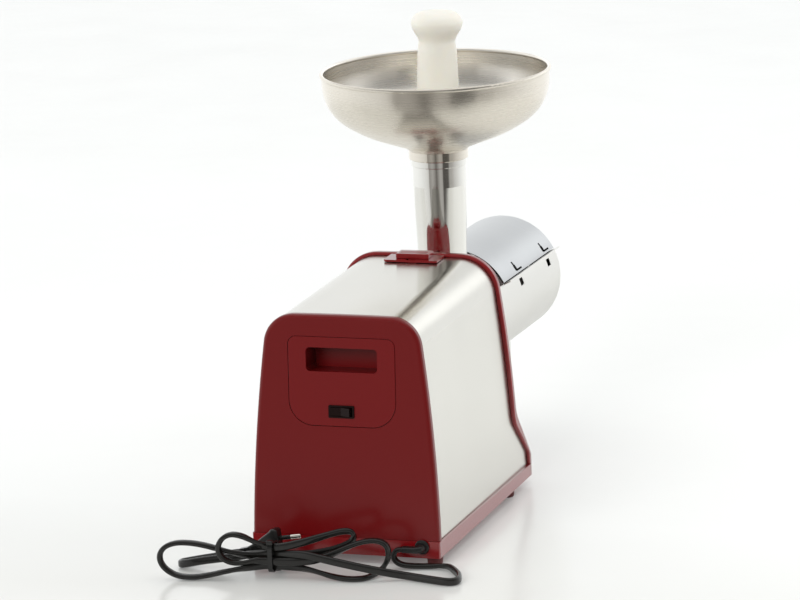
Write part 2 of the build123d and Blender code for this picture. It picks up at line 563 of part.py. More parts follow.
# ---------------------------------------------------------------- funnel
FZ = FUNNEL_RIM_Z
T = 0.6
z_seat = NECK_TOP + 6.5
bowl = make_face([
    Spline((FUNNEL_R, FZ - 9.0), (99.3, FZ - 18.5), (96.3, FZ - 28.0), (91.0, FZ - 36.6), (82.4, FZ - 44.6), (71.0, FZ - 51.6),
           (57.0, FZ - 58.2), tangents=((0, -1), (-1, -0.42))),
    Line((57.0, FZ - 58.2), (29.6, FZ - 68.6)),
    Line((29.6, FZ - 68.6), (26.4, FZ - 71.5)),
    Line((26.4, FZ - 71.5), (26.4, z_seat)),
    Line((26.4, z_seat), (22.0, z_seat)),
    Line((22.0, z_seat), (22.0, z_seat - 24)),
    Line((22.0, z_seat - 24), (21.2, z_seat - 24)),
    Line((21.2, z_seat - 24), (21.2, z_seat + 0.8)),
    Line((21.2, z_seat + 0.8), (25.7, z_seat + 0.8)),
    Line((25.7, z_seat + 0.8), (25.7, FZ - 71.2)),
    Line((25.7, FZ - 71.2), (29.2, FZ - 68.0)),
    Line((29.2, FZ - 68.0), (56.8, FZ - 57.6)),
    Spline((56.8, FZ - 57.6), (70.7, FZ - 51.1), (82.0, FZ - 44.1), (90.5, FZ - 36.2), (95.7, FZ - 27.8), (98.7, FZ - 18.4),
           (FUNNEL_R - T, FZ - 9.0), tangents=((1, 0.42), (0, 1))),
    Line((FUNNEL_R - T, FZ - 9.0), (FUNNEL_R - T, FZ - 1.0)),
    Line((FUNNEL_R - T, FZ - 1.0), (FUNNEL_R, FZ - 1.0)),
    Line((FUNNEL_R, FZ - 1.0), (FUNNEL_R, FZ - 9.0)),
])
funnel = Pos(0, NECK_Y, 0) * revolve(Plane.XZ * bowl, axis=Axis.Z)
funnel += Pos(0, NECK_Y, FZ - 1.8) * Torus(FUNNEL_R - 0.1, 1.8)
keep("funnel", funnel)

# ---------------------------------------------------------------- pusher
pz = PUSHER_TOP
pts = [(0, pz), (10.0, pz - 0.1), (16.8, pz - 1.2), (20.8, pz - 4.4), (22.8, pz - 8.8), (22.2, pz - 13.0), (20.3, pz - 17.0),
       (17.6, pz - 21.4), (16.2, pz - 25.0), (16.4, pz - 29.0), (17.2, pz - 34.0), (17.6, pz - 37.0), (18.6, pz - 69.0),
       (17.8, PUSHER_BOTTOM + 3.0), (16.8, PUSHER_BOTTOM + 0.8), (15.0, PUSHER_BOTTOM)]
pus = make_face([
    Spline(*pts[:6], tangents=((1, 0), (-0.25, -1))),
    Spline(*pts[5:11], tangents=((-0.25, -1), (0.1, -1))),
    Line(pts[10], pts[12]),
    Line(pts[12], pts[13]),
    Line(pts[13], pts[14]), Line(pts[14], pts[15]),
    Line(pts[15], (14.0, PUSHER_BOTTOM)),
    Line((14.0, PUSHER_BOTTOM), (14.0, pz - 60.0)),
    Line((14.0, pz - 60.0), (0, pz - 52.0)),
    Line((0, pz - 52.0), (0, pz)),
])
keep("pusher", Pos(0, NECK_Y, PUSHER_PIVOT) * Rot(0, -PUSHER_LEAN, 0) * Pos(0, 0, -PUSHER_PIVOT) * revolve(Plane.XZ * pus, axis=Axis.Z))

# ---------------------------------------------------------------- gear train positions
def centre(stage):
    m, n1, n2 = stage
    return m * (n1 + n2) / 2


A1, A2, A3 = centre(STAGE1), centre(STAGE2), centre(STAGE3)
O = (0.0, PRESS_Z)                                   # output shaft
B = (-18.0, PRESS_Z - math.sqrt(A3 ** 2 - 18.0 ** 2))  # second compound gear
A = (12.0, B[1] - math.sqrt(A2 ** 2 - 30.0 ** 2))      # first compound gear
M = (0.0, A[1] - math.sqrt(A1 ** 2 - 12.0 ** 2))       # motor
MZ = M[1]


def direction(p, q):
    return math.degrees(math.atan2(q[1] - p[1], q[0] - p[0]))


# phases: a tooth of the pinion points at the wheel, a gap of the wheel at the pinion
ph_pin1 = direction(M, A)
ph_whl1 = direction(A, M) + 180.0 / STAGE1[2]
ph_pin2 = direction(A, B)
ph_whl2 = direction(B, A) + 180.0 / STAGE2[2]
ph_pin3 = direction(B, O)
ph_whl3 = direction(O, B) + 180.0 / STAGE3[2]

AXLE_R = 3.0
keep("motor_pinion", gear(STAGE1[0], STAGE1[1], ph_pin1, M[0], M[1], 52.0, 59.2, 2.0))
g1 = gear(STAGE1[0], STAGE1[2], ph_whl1, A[0], A[1], 52.6, 58.4, AXLE_R + 0.05)
g1 -= ext_y(at(A[0], A[1], Circle(20.5) - Circle(9.5)), 51, 54.0) + ext_y(at(A[0], A[1], Circle(20.5) - Circle(9.5)), 57.0, 60)
keep("first_gear", g1)
keep("first_pinion", gear(STAGE2[0], STAGE2[1], ph_pin2, A[0], A[1], 43.0, 52.6, AXLE_R + 0.05))
g2 = gear(STAGE2[0], STAGE2[2], ph_whl2, B[0], B[1], 43.4, 51.4, AXLE_R + 0.05)
g2 -= ext_y(at(B[0], B[1], Circle(23.0) - Circle(10.5)), 42, 45.2) + ext_y(at(B[0], B[1], Circle(23.0) - Circle(10.5)), 49.6, 53)
keep("second_gear", g2)
keep("second_pinion", gear(STAGE3[0], STAGE3[1], ph_pin3, B[0], B[1], 28.6, 43.4, AXLE_R + 0.05))
g3 = gear(STAGE3[0], STAGE3[2], ph_whl3, O[0], O[1], 29.4, 41.6, 8.0)
g3 -= ext_y(at(O[0], O[1], Circle(29.0) - Circle(14.0)), 28, 32.0) + ext_y(at(O[0], O[1], Circle(29.0) - Circle(14.0)), 39.0, 43)
keep("output_gear", g3)
keep("output_shaft", cyl_y(8.0, 13.0, 62.5, 0, PRESS_Z) + cyl_y(10.5, 41.6, 43.6, 0, PRESS_Z)
     + block(-6.0, 6.0, -4.0, 13.5, PRESS_Z - 6.0, PRESS_Z + 6.0))
keep("intermediate_axles", group(cyl_y(AXLE_R, 24.0, 62.0, A[0], A[1]), cyl_y(AXLE_R, 24.0, 62.0, B[0], B[1])))

# ---------------------------------------------------------------- gear case
def hull(ro, rb, rm):
    c1 = at(O[0], O[1], Circle(ro))
    c2 = at(B[0], B[1], Circle(rb))
    c3 = at(M[0], M[1], Circle(rm))
    return make_hull(c1.edges() + c2.edges() + c3.edges())


CASE_Y0, CASE_Y1, COVER_Y = 21.5, 60.0, 64.0
case = ext_y(hull(39.0, 33.0, 44.0), CASE_Y0, CASE_Y1)
case -= ext_y(hull(36.4, 30.4, 41.0), CASE_Y0 + 4.0, CASE_Y1 + 1)
case += cyl_y(50.0, CASE_Y0, CASE_Y0 + 4.0, 0, PRESS_Z)
case += cyl_y(18.0, 14.6, CASE_Y0 + 1, 0, PRESS_Z)
case += cyl_y(15.0, CASE_Y0 + 3, 28.0, 0, PRESS_Z)
case += cyl_y(6.0, CASE_Y0 + 3, 28.0, A[0], A[1]) + cyl_y(6.0, CASE_Y0 + 3, 28.0, B[0], B[1])
case += block(-38, 38, 30.0, 52.0, 13.0, 17.0) + (block(-30, 30, 38.0, 44.0, 15.0, 40.0) - ext_y(hull(38.0, 32.0, 43.0), 20, 70))
CASE_SCREWS = [(-40.4, 154.0), (40.4, 154.0), (-46.5, 82.0), (46.5, 82.0), (-26.0, 29.6), (26.0, 29.6)]
for x, z in CASE_SCREWS:
    case += cyl_y(4.4, CASE_Y0 + 6, CASE_Y1, x, z) - ext_y(hull(36.4, 30.4, 41.0), 20, 70)
    case -= cyl_y(1.75, 44.0, 70, x, z)
case -= cyl_y(12.0, CASE_Y0 + 0.5, 40, 0, PRESS_Z) & ext_y(at(0, PRESS_Z, Circle(12.0)), CASE_Y0 + 0.5, 40)
case -= cyl_y(14.0, 10, CASE_Y0 + 0.5, 0, PRESS_Z)
case -= cyl_y(AXLE_R, 24.0, 40, A[0], A[1]) + cyl_y(AXLE_R, 24.0, 40, B[0], B[1])
case -= cyl_y(3.3, 10, 30, 0, BOLT_Z)
for x, z in RING_SCREWS:
    case -= cyl_y(2.25, 10, 25.0, x, z)
for x, y in MOUNT_SCREWS[:2]:
    case -= cyl_z(2.0, 0, 20, x, y)
keep("gear_case", case)

TIES = [(-31.0, MZ - 25.0), (31.0, MZ - 25.0), (-31.0, MZ + 25.0), (31.0, MZ + 25.0)]
cover = ext_y(hull(39.0, 33.0, 44.0), CASE_Y1, COVER_Y)
for x, z in CASE_SCREWS:
    cover += cyl_y(4.4, CASE_Y1, COVER_Y, x, z)
    cover -= cyl_y(1.75, 50.0, 70, x, z)
cover += cyl_y(15.0, CASE_Y1, 68.0, 0, PRESS_Z) + cyl_y(13.0, CASE_Y1, 68.0, 0, MZ)
cover -= cyl_y(11.0, 50, 67.0, 0, PRESS_Z)
cover -= cyl_y(9.5, 50, 66.4, 0, MZ) + cyl_y(5.0, 50, 80, 0, MZ)
cover -= cyl_y(AXLE_R, 50, 62.0, A[0], A[1]) + cyl_y(AXLE_R, 50, 62.0, B[0], B[1])
for x, z in TIES:
    cover += cyl_y(4.5, CASE_Y1 + 1, 74.0, x, z)
    cover -= cyl_y(2.0, 62.0, 90, x, z)
keep("gear_cover", cover)
keep("gear_cover_screws", group(*[cyl_y(1.75, 46.0, COVER_Y, x, z) + cyl_y(3.6, COVER_Y, COVER_Y + 2.4, x, z) - Pos(x, COVER_Y + 2.4, z) * Box(5.6, 1.6, 0.9) for x, z in CASE_SCREWS]))
bush_f = cyl_y(12.0, CASE_Y0 + 0.5, 28.0, 0, PRESS_Z) - cyl_y(8.05, 0, 80, 0, PRESS_Z)
bush_r = cyl_y(11.0, 57.0, 67.0, 0, PRESS_Z) - cyl_y(8.05, 0, 64.5, 0, PRESS_Z)
keep("output_bushes", group(bush_f, bush_r))
keep("shaft_seal", cyl_y(14.0, 15.2, CASE_Y0 + 0.5, 0, PRESS_Z) - cyl_y(8.06, 0, 80, 0, PRESS_Z))

# ---------------------------------------------------------------- motor
STACK0, STACK1 = 92.0, 142.0
stator = ext_y(at(0, MZ, fillet(Rectangle(76, 66).vertices(), 9.0)), STACK0, STACK1)
stator -= cyl_y(21.0, 80, 150, 0, MZ)
for a in (90, 270):
    stator -= ext_y(sector(20, 29.0, a - 42, a + 42, 0, MZ), STACK0 - 1, STACK1 + 1)
for x, z in TIES:
    stator -= cyl_y(2.2, 80, 150, x, z)
keep("stator_core", stator)


def coil(side):
    c = 0 if side > 0 else 180
    body_c = ext_y(sector(22.4, 28.4, c - 89, c + 89, 0, MZ), STACK0 - 7.5, STACK0 - 0.3)
    body_c += ext_y(sector(22.4, 28.4, c - 89, c + 89, 0, MZ), STACK1 + 0.3, STACK1 + 7.5)
    for s in (-1, 1):
        body_c += ext_y(sector(22.4, 28.4, c + s * 70 - 19, c + s * 70 + 19, 0, MZ), STACK0 - 1, STACK1 + 1)
    return body_c


keep("field_coils", group(coil(1), coil(-1)))
rotor = cyl_y(20.0, STACK0, STACK1, 0, MZ) - cyl_y(4.0, 60, 200, 0, MZ)
for i in range(12):
    x, z = polar(16.2, 30 * i, 0, MZ)
    rotor -= cyl_y(2.2, STACK0 - 1, STACK1 + 1, x, z)
    sx, sz = polar(19.4, 30 * i, 0, MZ)
    rotor -= Pos(sx, (STACK0 + STACK1) / 2, sz) * Rot(0, -30 * i, 0) * Box(4.0, STACK1 - STACK0 + 2, 1.4)
keep("rotor_core", rotor)
wind = rev_y([(STACK0 - 8, 4.0), (STACK0 - 8, 15.0), (STACK0 - 6, 18.0), (STACK0, 18.5), (STACK0, 4.0)], MZ)
wind2 = rev_y([(STACK1, 4.0), (STACK1, 18.5), (STACK1 + 6, 18.0), (STACK1 + 8, 15.0), (STACK1 + 8, 4.0)], MZ)
keep("rotor_windings", group(wind, wind2))
COM0, COM1 = 153.0, 167.0
com = cyl_y(11.0, COM0, COM1, 0, MZ) + cyl_y(12.6, COM0, COM0 + 2.0, 0, MZ) - cyl_y(4.0, 100, 200, 0, MZ)
for i in range(24):
    x, z = polar(11.5, 15 * i, 0, MZ)
    com -= Pos(x, (COM0 + COM1) / 2, z) * Rot(0, -15 * i, 0) * Box(4.0, 20.0, 0.5)
keep("commutator", com)
keep("motor_shaft", cyl_y(4.0, 68.4, 176.0, 0, MZ) + cyl_y(3.0, 59.2, 68.4, 0, MZ) + cyl_y(2.0, 52.0, 59.2, 0, MZ) + cyl_y(3.0, 176.0, 184.0, 0, MZ))
fan = cyl_y(8.0, 70.0, 82.0, 0, MZ) + (cyl_y(29.0, 80.2, 82.0, 0, MZ))
for i in range(13):
    x, z = polar(18.0, 360 / 13 * i, 0, MZ)
    fan += Pos(x, 76.6, z) * Rot(0, -360 / 13 * i - 18, 0) * Box(21.0, 8.4, 1.4)
fan -= cyl_y(4.0, 60, 90, 0, MZ)
fan = fan & cyl_y(29.0, 60, 90, 0, MZ)
keep("cooling_fan", fan)
bear_f = cyl_y(9.5, 60.0, 66.4, 0, MZ) - cyl_y(3.03, 50, 80, 0, MZ)
bear_r = cyl_y(9.5, 176.4, 182.8, 0, MZ) - cyl_y(3.03, 150, 200, 0, MZ)
keep("motor_bearings", group(bear_f, bear_r))

bracket = ext_y(at(0, MZ, fillet(Rectangle(74, 62).vertices(), 9.0)), 172.0, 176.0)
bracket -= ext_y(at(0, MZ, fillet(Rectangle(34, 20).vertices(), 4.0)), 170, 175.9) & block(-60, 60, 150, 174.0, 0, 200)
bracket += cyl_y(13.0, 172.0, 184.4, 0, MZ)
bracket += block(-30, 30, 172.0, 176.0, 13.0, MZ) + block(-36, 36, 172.0, 192.0, 13.0, 16.0)
bracket -= cyl_y(5.0, 150, 200, 0, MZ) + cyl_y(9.5, 176.4, 182.8, 0, MZ)
for x, z in TIES:
    bracket += cyl_y(4.5, STACK1, 173.0, x, z)
    bracket -= cyl_y(2.0, 130, 190, x, z)
for x, y in MOUNT_SCREWS[2:]:
    bracket -= cyl_z(2.0, 0, 20, x, y)
for sx in (-1, 1):
    bracket -= block(sx * 24 - 7, sx * 24 + 7, 170, 180, 22, 34)
keep("motor_bracket", bracket)
keep("motor_tie_bolts", group(*[cyl_y(2.0, 62.0, 176.0, x, z) + cyl_y(3.8, 176.0, 179.0, x, z) for x, z in TIES]))
keep("stator_spacers", group(*[cyl_y(4.5, 74.0, STACK0, x, z) - cyl_y(2.0, 60, 120, x, z) for x, z in TIES]))

holders = []
brushes = []
BR0, BR1 = 155.0, 166.0
for sx in (-1, 1):
    x0, x1 = sx * 13.0, sx * 30.0
    h = block(min(x0, x1), max(x0, x1), BR0, BR1, MZ - 5.5, MZ + 5.5)
    h += block(min(sx * 26.0, sx * 30.0), max(sx * 26.0, sx * 30.0), BR1 - 2, 172.0, MZ - 5.5, MZ + 5.5)
    h -= block(-28.5, 28.5, BR0 + 2.0, BR1 - 2.0, MZ - 3.6, MZ + 3.6)
    holders.append(h)
    bx0, bx1 = sx * 10.0, sx * 24.0
    b = block(min(bx0, bx1), max(bx0, bx1), BR0 + 2.1, BR1 - 2.1, MZ - 3.5, MZ + 3.5) - cyl_y(11.35, 140, 180, 0, MZ)
    brushes.append(b)
keep("brush_holders", group(*holders))
keep("carbon_brushes", group(*brushes))

# ---------------------------------------------------------------- electrical small parts
cap = fillet(block(40.0, 60.0, 204.0, 213.0, 10.0, 27.0).edges(), 1.2)
keep("capacitor", cap)
term = block(-50.0, -26.0, 200.0, 214.0, 10.0, 24.0)
for x in (-44.0, -32.0):
    term -= cyl_z(2.4, 17.0, 30, x, 207.0) + cyl_y(1.8, 195, 220, x, 14.5)
keep("terminal_block", term)

# ---------------------------------------------------------------- fasteners under the tray
keep("base_screws", group(*[cyl_z(3.8, FOOT_H + 0.4, FOOT_H + 2.5, x, y) - Pos(x, y, FOOT_H + 0.4) * Box(5.4, 1.0, 1.6) + cyl_z(2.0, FOOT_H + 2.5, 30.0, x, y) for x, y in BASE_SCREWS]))
keep("mount_screws", group(*[cyl_z(3.8, FOOT_H + 0.4, FOOT_H + 2.5, x, y) - Pos(x, y, FOOT_H + 0.4) * Box(5.4, 1.0, 1.6) + cyl_z(2.0, FOOT_H + 2.5, 16.0, x, y) for x, y in MOUNT_SCREWS]))

# ---------------------------------------------------------------- mains cord, plug and tie
CORD_R = 3.2                       # plain round stand-in for the flat two-core cord
SLEEVE_R, SLEEVE_DEG, SLEEVE_END = 8.0, 85.0, 3.5
gy = rear_y(GLAND_Z)
turn = math.radians(SLEEVE_DEG)
s0 = (GLAND_X, gy, GLAND_Z)
s1 = (GLAND_X, gy + 1.5, GLAND_Z)
sm = (GLAND_X + SLEEVE_R * (1 - math.cos(turn / 2)), gy + 1.5 + SLEEVE_R * math.sin(turn / 2), GLAND_Z)
s2 = (GLAND_X + SLEEVE_R * (1 - math.cos(turn)), gy + 1.5 + SLEEVE_R * math.sin(turn), GLAND_Z)
s3 = (s2[0] + SLEEVE_END * math.sin(turn), s2[1] + SLEEVE_END * math.cos(turn), GLAND_Z)
sleeve_path = Wire([Line((GLAND_X, gy - 5, GLAND_Z), s1), ThreePointArc(s1, sm, s2), Line(s2, s3)])
sleeve = sweep(Plane(origin=(GLAND_X, gy - 5, GLAND_Z), z_dir=(0, 1, 0)) * Circle(3.9), path=sleeve_path)
relief = sleeve + cyl_y(6.0, gy + 0.6, gy + 3.0, GLAND_X, GLAND_Z) + cyl_y(4.5, gy - 6.0, gy + 1.0, GLAND_X, GLAND_Z) \
    + cyl_y(6.0, gy - 7.5, gy - 4.6, GLAND_X, GLAND_Z)
keep("strain_relief", relief)

CORD_EXIT = s3
lead_pts = [s3, (-49.0, 249.8, 16.7), (-45.4, 250.9, 10.4), (-50.4, 251.9, 4.2), (-61.5, 250.5, 3.5), (-78.0, 246.4, 3.4), (-93.6, 248.2, 3.5),
            (-104.4, 261.8, 3.6), (-111.4, 276.6, 3.6), (-106.6, 287.8, 3.6), (-92.0, 286.3, 3.6), (-76.0, 282.0, 3.7), (-64.0, 279.6, 4.1),
            (-54.3, 283.0, 6.2), (-45.7, 288.0, 9.1), (-35.4, 290.5, 11.5), (-22.2, 292.0, 14.0), (-7.7, 293.4, 16.6), (7.1, 293.6, 19.4),
            (20.6, 292.2, 21.0), (38.0, 289.6, 19.2)]


def bend_radii(points):
    out = []
    for a, b, c in zip(points, points[1:], points[2:]):
        u, v = Vector(*b) - Vector(*a), Vector(*c) - Vector(*b)
        ang = math.radians(u.get_angle(v))
        out.append(0.45 * min(u.length, v.length) / math.tan(ang / 2))
    return out


radii = bend_radii(lead_pts)
print("cord bend radii", [round(r, 1) for r in radii])
lead_path = FilletPolyline(*lead_pts, radius=radii)
lead = sweep(Plane(origin=lead_pts[0], z_dir=Vector(*lead_pts[1]) - Vector(*lead_pts[0])) * Circle(CORD_R), path=lead_path)
print("cord lead length", round(lead_path.length, 1), "volume ratio", round(lead.volume / (math.pi * CORD_R ** 2 * lead_path.length), 4))

# plug: flat two-pin plug standing on edge behind the strands, pins toward -X
PLUG_AT = (43.95, 273.6, 19.3)
PLUG = Plane(origin=PLUG_AT, x_dir=(0.988, 0, -0.152), z_dir=(-0.0152, -0.9946, -0.0991))
flat = make_face(Polyline((0, -16.2), (2.2, -17.6), (5.5, -17.6), (7.5, -15.6), (21.0, -8.0), (27.0, -5.6), (29.0, -4.4), (37.0, -3.8),
                          (37.0, 3.8), (29.0, 4.4), (27.0, 5.6), (21.0, 8.0), (7.5, 15.6), (5.5, 17.6), (2.2, 17.6), (0, 16.2), close=True))
plug_l = extrude(flat, amount=6.2, both=True)
plug_l -= Pos(33, 0, 6.9) * Box(12, 40, 6) + Pos(33, 0, -6.9) * Box(12, 40, 6)
try:
    plug_l = fillet([e for e in plug_l.edges() if abs(abs(e.center().Z) - 6.2) < 0.01], 2.2)
except Exception as err:
    print("plug fillet left out:", err)
pins_l = []
for sy in (-9.0, 9.0):
    plug_l += Pos(-5.0, sy, 0) * Rot(0, 90, 0) * Cylinder(1.9, 10.0)
    tip = Pos(-14.5, sy, 0) * Rot(0, 90, 0) * Cylinder(2.0, 9.0)
    pins_l.append(fillet(tip.edges().sort_by(Axis.X)[0], 1.2))
plug = PLUG.location * plug_l
keep("plug_body", plug)
pins = group(*[PLUG.location * t for t in pins_l])
keep("plug_pins", pins)

hank_xz = poly((138.2, 16.0), (137.6, 24.0), (132.0, 31.0), (121.5, 34.5), (110.0, 34.0), (100.0, 31.6), (90.5, 33.0), (85.5, 39.0), (76.0, 42.4),
               (67.0, 40.4), (58.0, 33.5), (50.0, 29.2), (38.0, 29.6), (22.0, 33.0), (10.0, 36.6), (-2.4, 40.4), (-12.0, 42.3), (-19.5, 41.0),
               (-23.8, 35.0), (-30.0, 33.2), (-38.0, 33.2), (-46.0, 30.6), (-51.0, 25.0), (-51.2, 16.0), (-48.6, 9.0), (-43.0, 2.0), (-36.0, 0.6),
               (-8.0, 0.7), (6.0, 3.4), (19.0, 6.0), (40.0, 5.8), (52.0, 5.8), (64.0, 7.0), (76.0, 6.4), (86.0, 4.2), (97.0, 1.0), (107.0, 0.6),
               (123.0, 0.7), (132.0, 6.0))
hank_xy = poly((-52.0, 265.5), (-24.0, 268.0), (0.0, 276.0), (10.0, 281.4), (87.0, 281.4), (89.0, 272.0), (133.0, 273.0), (139.0, 278.0),
               (139.5, 319.5), (122.0, 317.5), (100.0, 316.0), (86.0, 312.5), (74.0, 308.0), (62.0, 300.0), (52.0, 297.0), (10.0, 297.5),
               (-20.0, 297.8), (-36.0, 294.5), (-52.0, 286.0))
hank = ext_y(hank_xz, 250, 350) & ext_z(hank_xy, 0, 60)
tie_c, TIE_X0, TIE_X1 = (289.3, 17.4), 44.0, 48.0
tie_in = fillet(Rectangle(13.8, 23.4).vertices(), 4.0)
tie = ext_x(at(tie_c[0], tie_c[1], fillet(Rectangle(16.0, 25.6).vertices(), 5.1) - tie_in), TIE_X0, TIE_X1)
tie += fillet(block(43.2, 48.8, tie_c[0] + 3.0, tie_c[0] + 8.4, tie_c[1] + 11.4, tie_c[1] + 15.2).edges(), 1.0) - ext_x(at(tie_c[0], tie_c[1], tie_in), 40.0, 52.0)
keep("cord_tie", tie)
hank -= ext_x(at(tie_c[0], tie_c[1], Rectangle(60, 60) - tie_in), TIE_X0, TIE_X1)
hank = hank - plug - pins - lead - tie
keep("cord_hank", hank)
keep("cord_lead", lead)

# ---------------------------------------------------------------- inner leads
def lead_wire(points, r=1.1):
    path = FilletPolyline(*points, radius=[min(v, 14.0) for v in bend_radii(points)])
    return sweep(Plane(origin=points[0], z_dir=Vector(*points[1]) - Vector(*points[0])) * Circle(r), path=path)


gi = gy - 7.6
wires = [
    lead_wire([(GLAND_X + 1.6, gi - 0.5, GLAND_Z), (GLAND_X + 2.0, gi - 9.0, GLAND_Z - 0.4), (-54.0, 216.4, 14.6), (-44.6, 217.4, 14.4), (-44.0, 208.0, 14.5)]),
    lead_wire([(GLAND_X - 1.6, gi - 0.5, GLAND_Z), (GLAND_X - 1.7, gi - 11.0, GLAND_Z + 2.0), (-56.0, 216.2, 20.0), (-41.0, 216.6, 19.6), (-32.2, 218.4, 14.9), (-32.0, 208.0, 14.5)]),
    lead_wire([(-44.0, 206.0, 14.5), (-44.0, 195.0, 14.6), (-48.0, 191.0, 32.0), (-40.0, 196.0, 96.0), (-10.0, 198.0, 126.0), (-4.3, 205.8, 127.4)]),
    lead_wire([(5.7, 205.8, 127.4), (8.0, 197.0, 125.0), (34.0, 190.0, 112.0), (45.0, 176.0, 88.0), (43.0, 163.0, 70.0), (30.9, 160.5, MZ)]),
    lead_wire([(-32.0, 206.0, 14.5), (-32.0, 195.0, 14.7), (-41.0, 188.0, 26.0), (-45.0, 172.0, 48.0), (-42.0, 162.0, 62.0), (-30.9, 160.5, MZ)]),
]
keep("inner_leads", group(*wires))

# ---------------------------------------------------------------- write out
total = 0.0
for name, shape in NODES.items():
    export_step(shape, os.path.join("parts", name + ".step"))
print(len(NODES), "nodes written")
print("gear centres O", O, "B", B, "A", A, "M", M)
print("rocker axis", tuple(ROCK_AXIS_POINT), tuple(ROCK_AXIS_DIR))
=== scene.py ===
import math
import bpy
import bmesh
from mathutils import Matrix, Vector


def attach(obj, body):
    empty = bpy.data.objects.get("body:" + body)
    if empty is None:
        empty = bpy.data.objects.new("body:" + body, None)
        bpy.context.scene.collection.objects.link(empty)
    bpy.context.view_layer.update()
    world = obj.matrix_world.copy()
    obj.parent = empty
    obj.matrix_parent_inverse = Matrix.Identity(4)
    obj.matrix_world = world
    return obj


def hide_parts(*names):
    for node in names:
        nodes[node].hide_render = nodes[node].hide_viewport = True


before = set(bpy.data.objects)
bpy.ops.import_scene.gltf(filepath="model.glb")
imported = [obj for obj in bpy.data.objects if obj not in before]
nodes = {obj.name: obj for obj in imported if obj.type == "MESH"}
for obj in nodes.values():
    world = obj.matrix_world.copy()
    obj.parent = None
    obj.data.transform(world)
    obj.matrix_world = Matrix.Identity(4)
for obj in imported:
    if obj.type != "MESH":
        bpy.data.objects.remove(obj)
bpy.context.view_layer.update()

MM = 0.001
scene = bpy.context.scene

# ------------------------------------------------------------------ camera
CAM = Vector((-1.150588, 3.399729, 1.020276))
YAW, PITCH, ROLL, FOCAL_PX = 0.333, 0.233, -0.044, 4203.0
fwd = Vector((math.sin(YAW) * math.cos(PITCH), -math.cos(YAW) * math.cos(PITCH), -math.sin(PITCH)))
right = fwd.cross(Vector((0, 0, 1))).normalized()
up = right.cross(fwd)
r2 = math.cos(ROLL) * right + math.sin(ROLL) * up
u2 = -math.sin(ROLL) * right + math.cos(ROLL) * up
cam_data = bpy.data.cameras.new("camera")
cam_data.sensor_width = 36.0
cam_data.lens = FOCAL_PX / 800.0 * 36.0
cam_data.clip_start, cam_data.clip_end = 0.05, 60.0
cam = bpy.data.objects.new("camera", cam_data)
scene.collection.objects.link(cam)
m = Matrix((r2, u2, -fwd)).transposed().to_4x4()
m.translation = CAM
cam.matrix_world = m
scene.camera = cam
scene.view_settings.view_transform = "Standard"
scene.view_settings.look = "None"


# ------------------------------------------------------------------ node helpers
class Net:
    """A small wrapper that makes and links shader nodes."""

    def __init__(self, tree):
        self.t = tree

    def new(self, kind, **props):
        n = self.t.nodes.new(kind)
        for k, v in props.items():
            setattr(n, k, v)
        return n

    def put(self, socket, value):
        if hasattr(value, "is_output"):
            self.t.links.new(value, socket)
        else:
            socket.default_value = value

    def math(self, op, a, b=0.0, clamp=False):
        n = self.new("ShaderNodeMath", operation=op, use_clamp=clamp)
        self.put(n.inputs[0], a)
        self.put(n.inputs[1], b)
        return n.outputs[0]

    def ramp(self, fac, stops, interp="LINEAR"):
        n = self.new("ShaderNodeValToRGB")
        n.color_ramp.interpolation = interp
        el = n.color_ramp.elements
        while len(el) < len(stops):
            el.new(0.5)
        for e, (p, c) in zip(el, stops):
            e.position = p
            e.color = (c, c, c, 1) if not isinstance(c, tuple) else (*c, 1)
        self.put(n.inputs[0], fac)
        return n.outputs[0]

    def mix(self, fac, a, b):
        n = self.new("ShaderNodeMix", data_type="RGBA")
        self.put(n.inputs["Factor"], fac)
        self.put(n.inputs[6], a if hasattr(a, "is_output") else (*a, 1))
        self.put(n.inputs[7], b if hasattr(b, "is_output") else (*b, 1))
        return n.outputs[2]

    def span(self, v, a0, a1, b0, b1):
        n = self.new("ShaderNodeMapRange")
        for i, x in enumerate((v, a0, a1, b0, b1)):
            self.put(n.inputs[i], x)
        return n.outputs[0]

    def coords(self, scale=(1, 1, 1), rotate=(0, 0, 0), shift=(0, 0, 0)):
        c = self.new("ShaderNodeTexCoord")
        n = self.new("ShaderNodeMapping")
        self.put(n.inputs[0], c.outputs["Object"])
        n.inputs["Location"].default_value = shift
        n.inputs["Rotation"].default_value = rotate
        n.inputs["Scale"].default_value = scale
        return n.outputs[0]

    def noise(self, vec, scale, detail=3.0, rough=0.5):
        n = self.new("ShaderNodeTexNoise")
        self.put(n.inputs["Vector"], vec)
        n.inputs["Scale"].default_value = scale
        n.inputs["Detail"].default_value = detail
        n.inputs["Roughness"].default_value = rough
        return n.outputs[0]

    def bump(self, height, strength, dist, base=None):
        n = self.new("ShaderNodeBump")
        n.inputs["Strength"].default_value = strength
        n.inputs["Distance"].default_value = dist
        self.put(n.inputs["Height"], height)
        if base is not None:
            self.put(n.inputs["Normal"], base)
        return n.outputs[0]


def material(name):
    mt = bpy.data.materials.new(name)
    mt.use_nodes = True
    net = Net(mt.node_tree)
    return mt, net, mt.node_tree.nodes["Principled BSDF"]


def lin(r, g, b):
    f = lambda v: (v / 255 / 12.92) if v / 255 <= 0.04045 else ((v / 255 + 0.055) / 1.055) ** 2.4
    return (f(r), f(g), f(b))


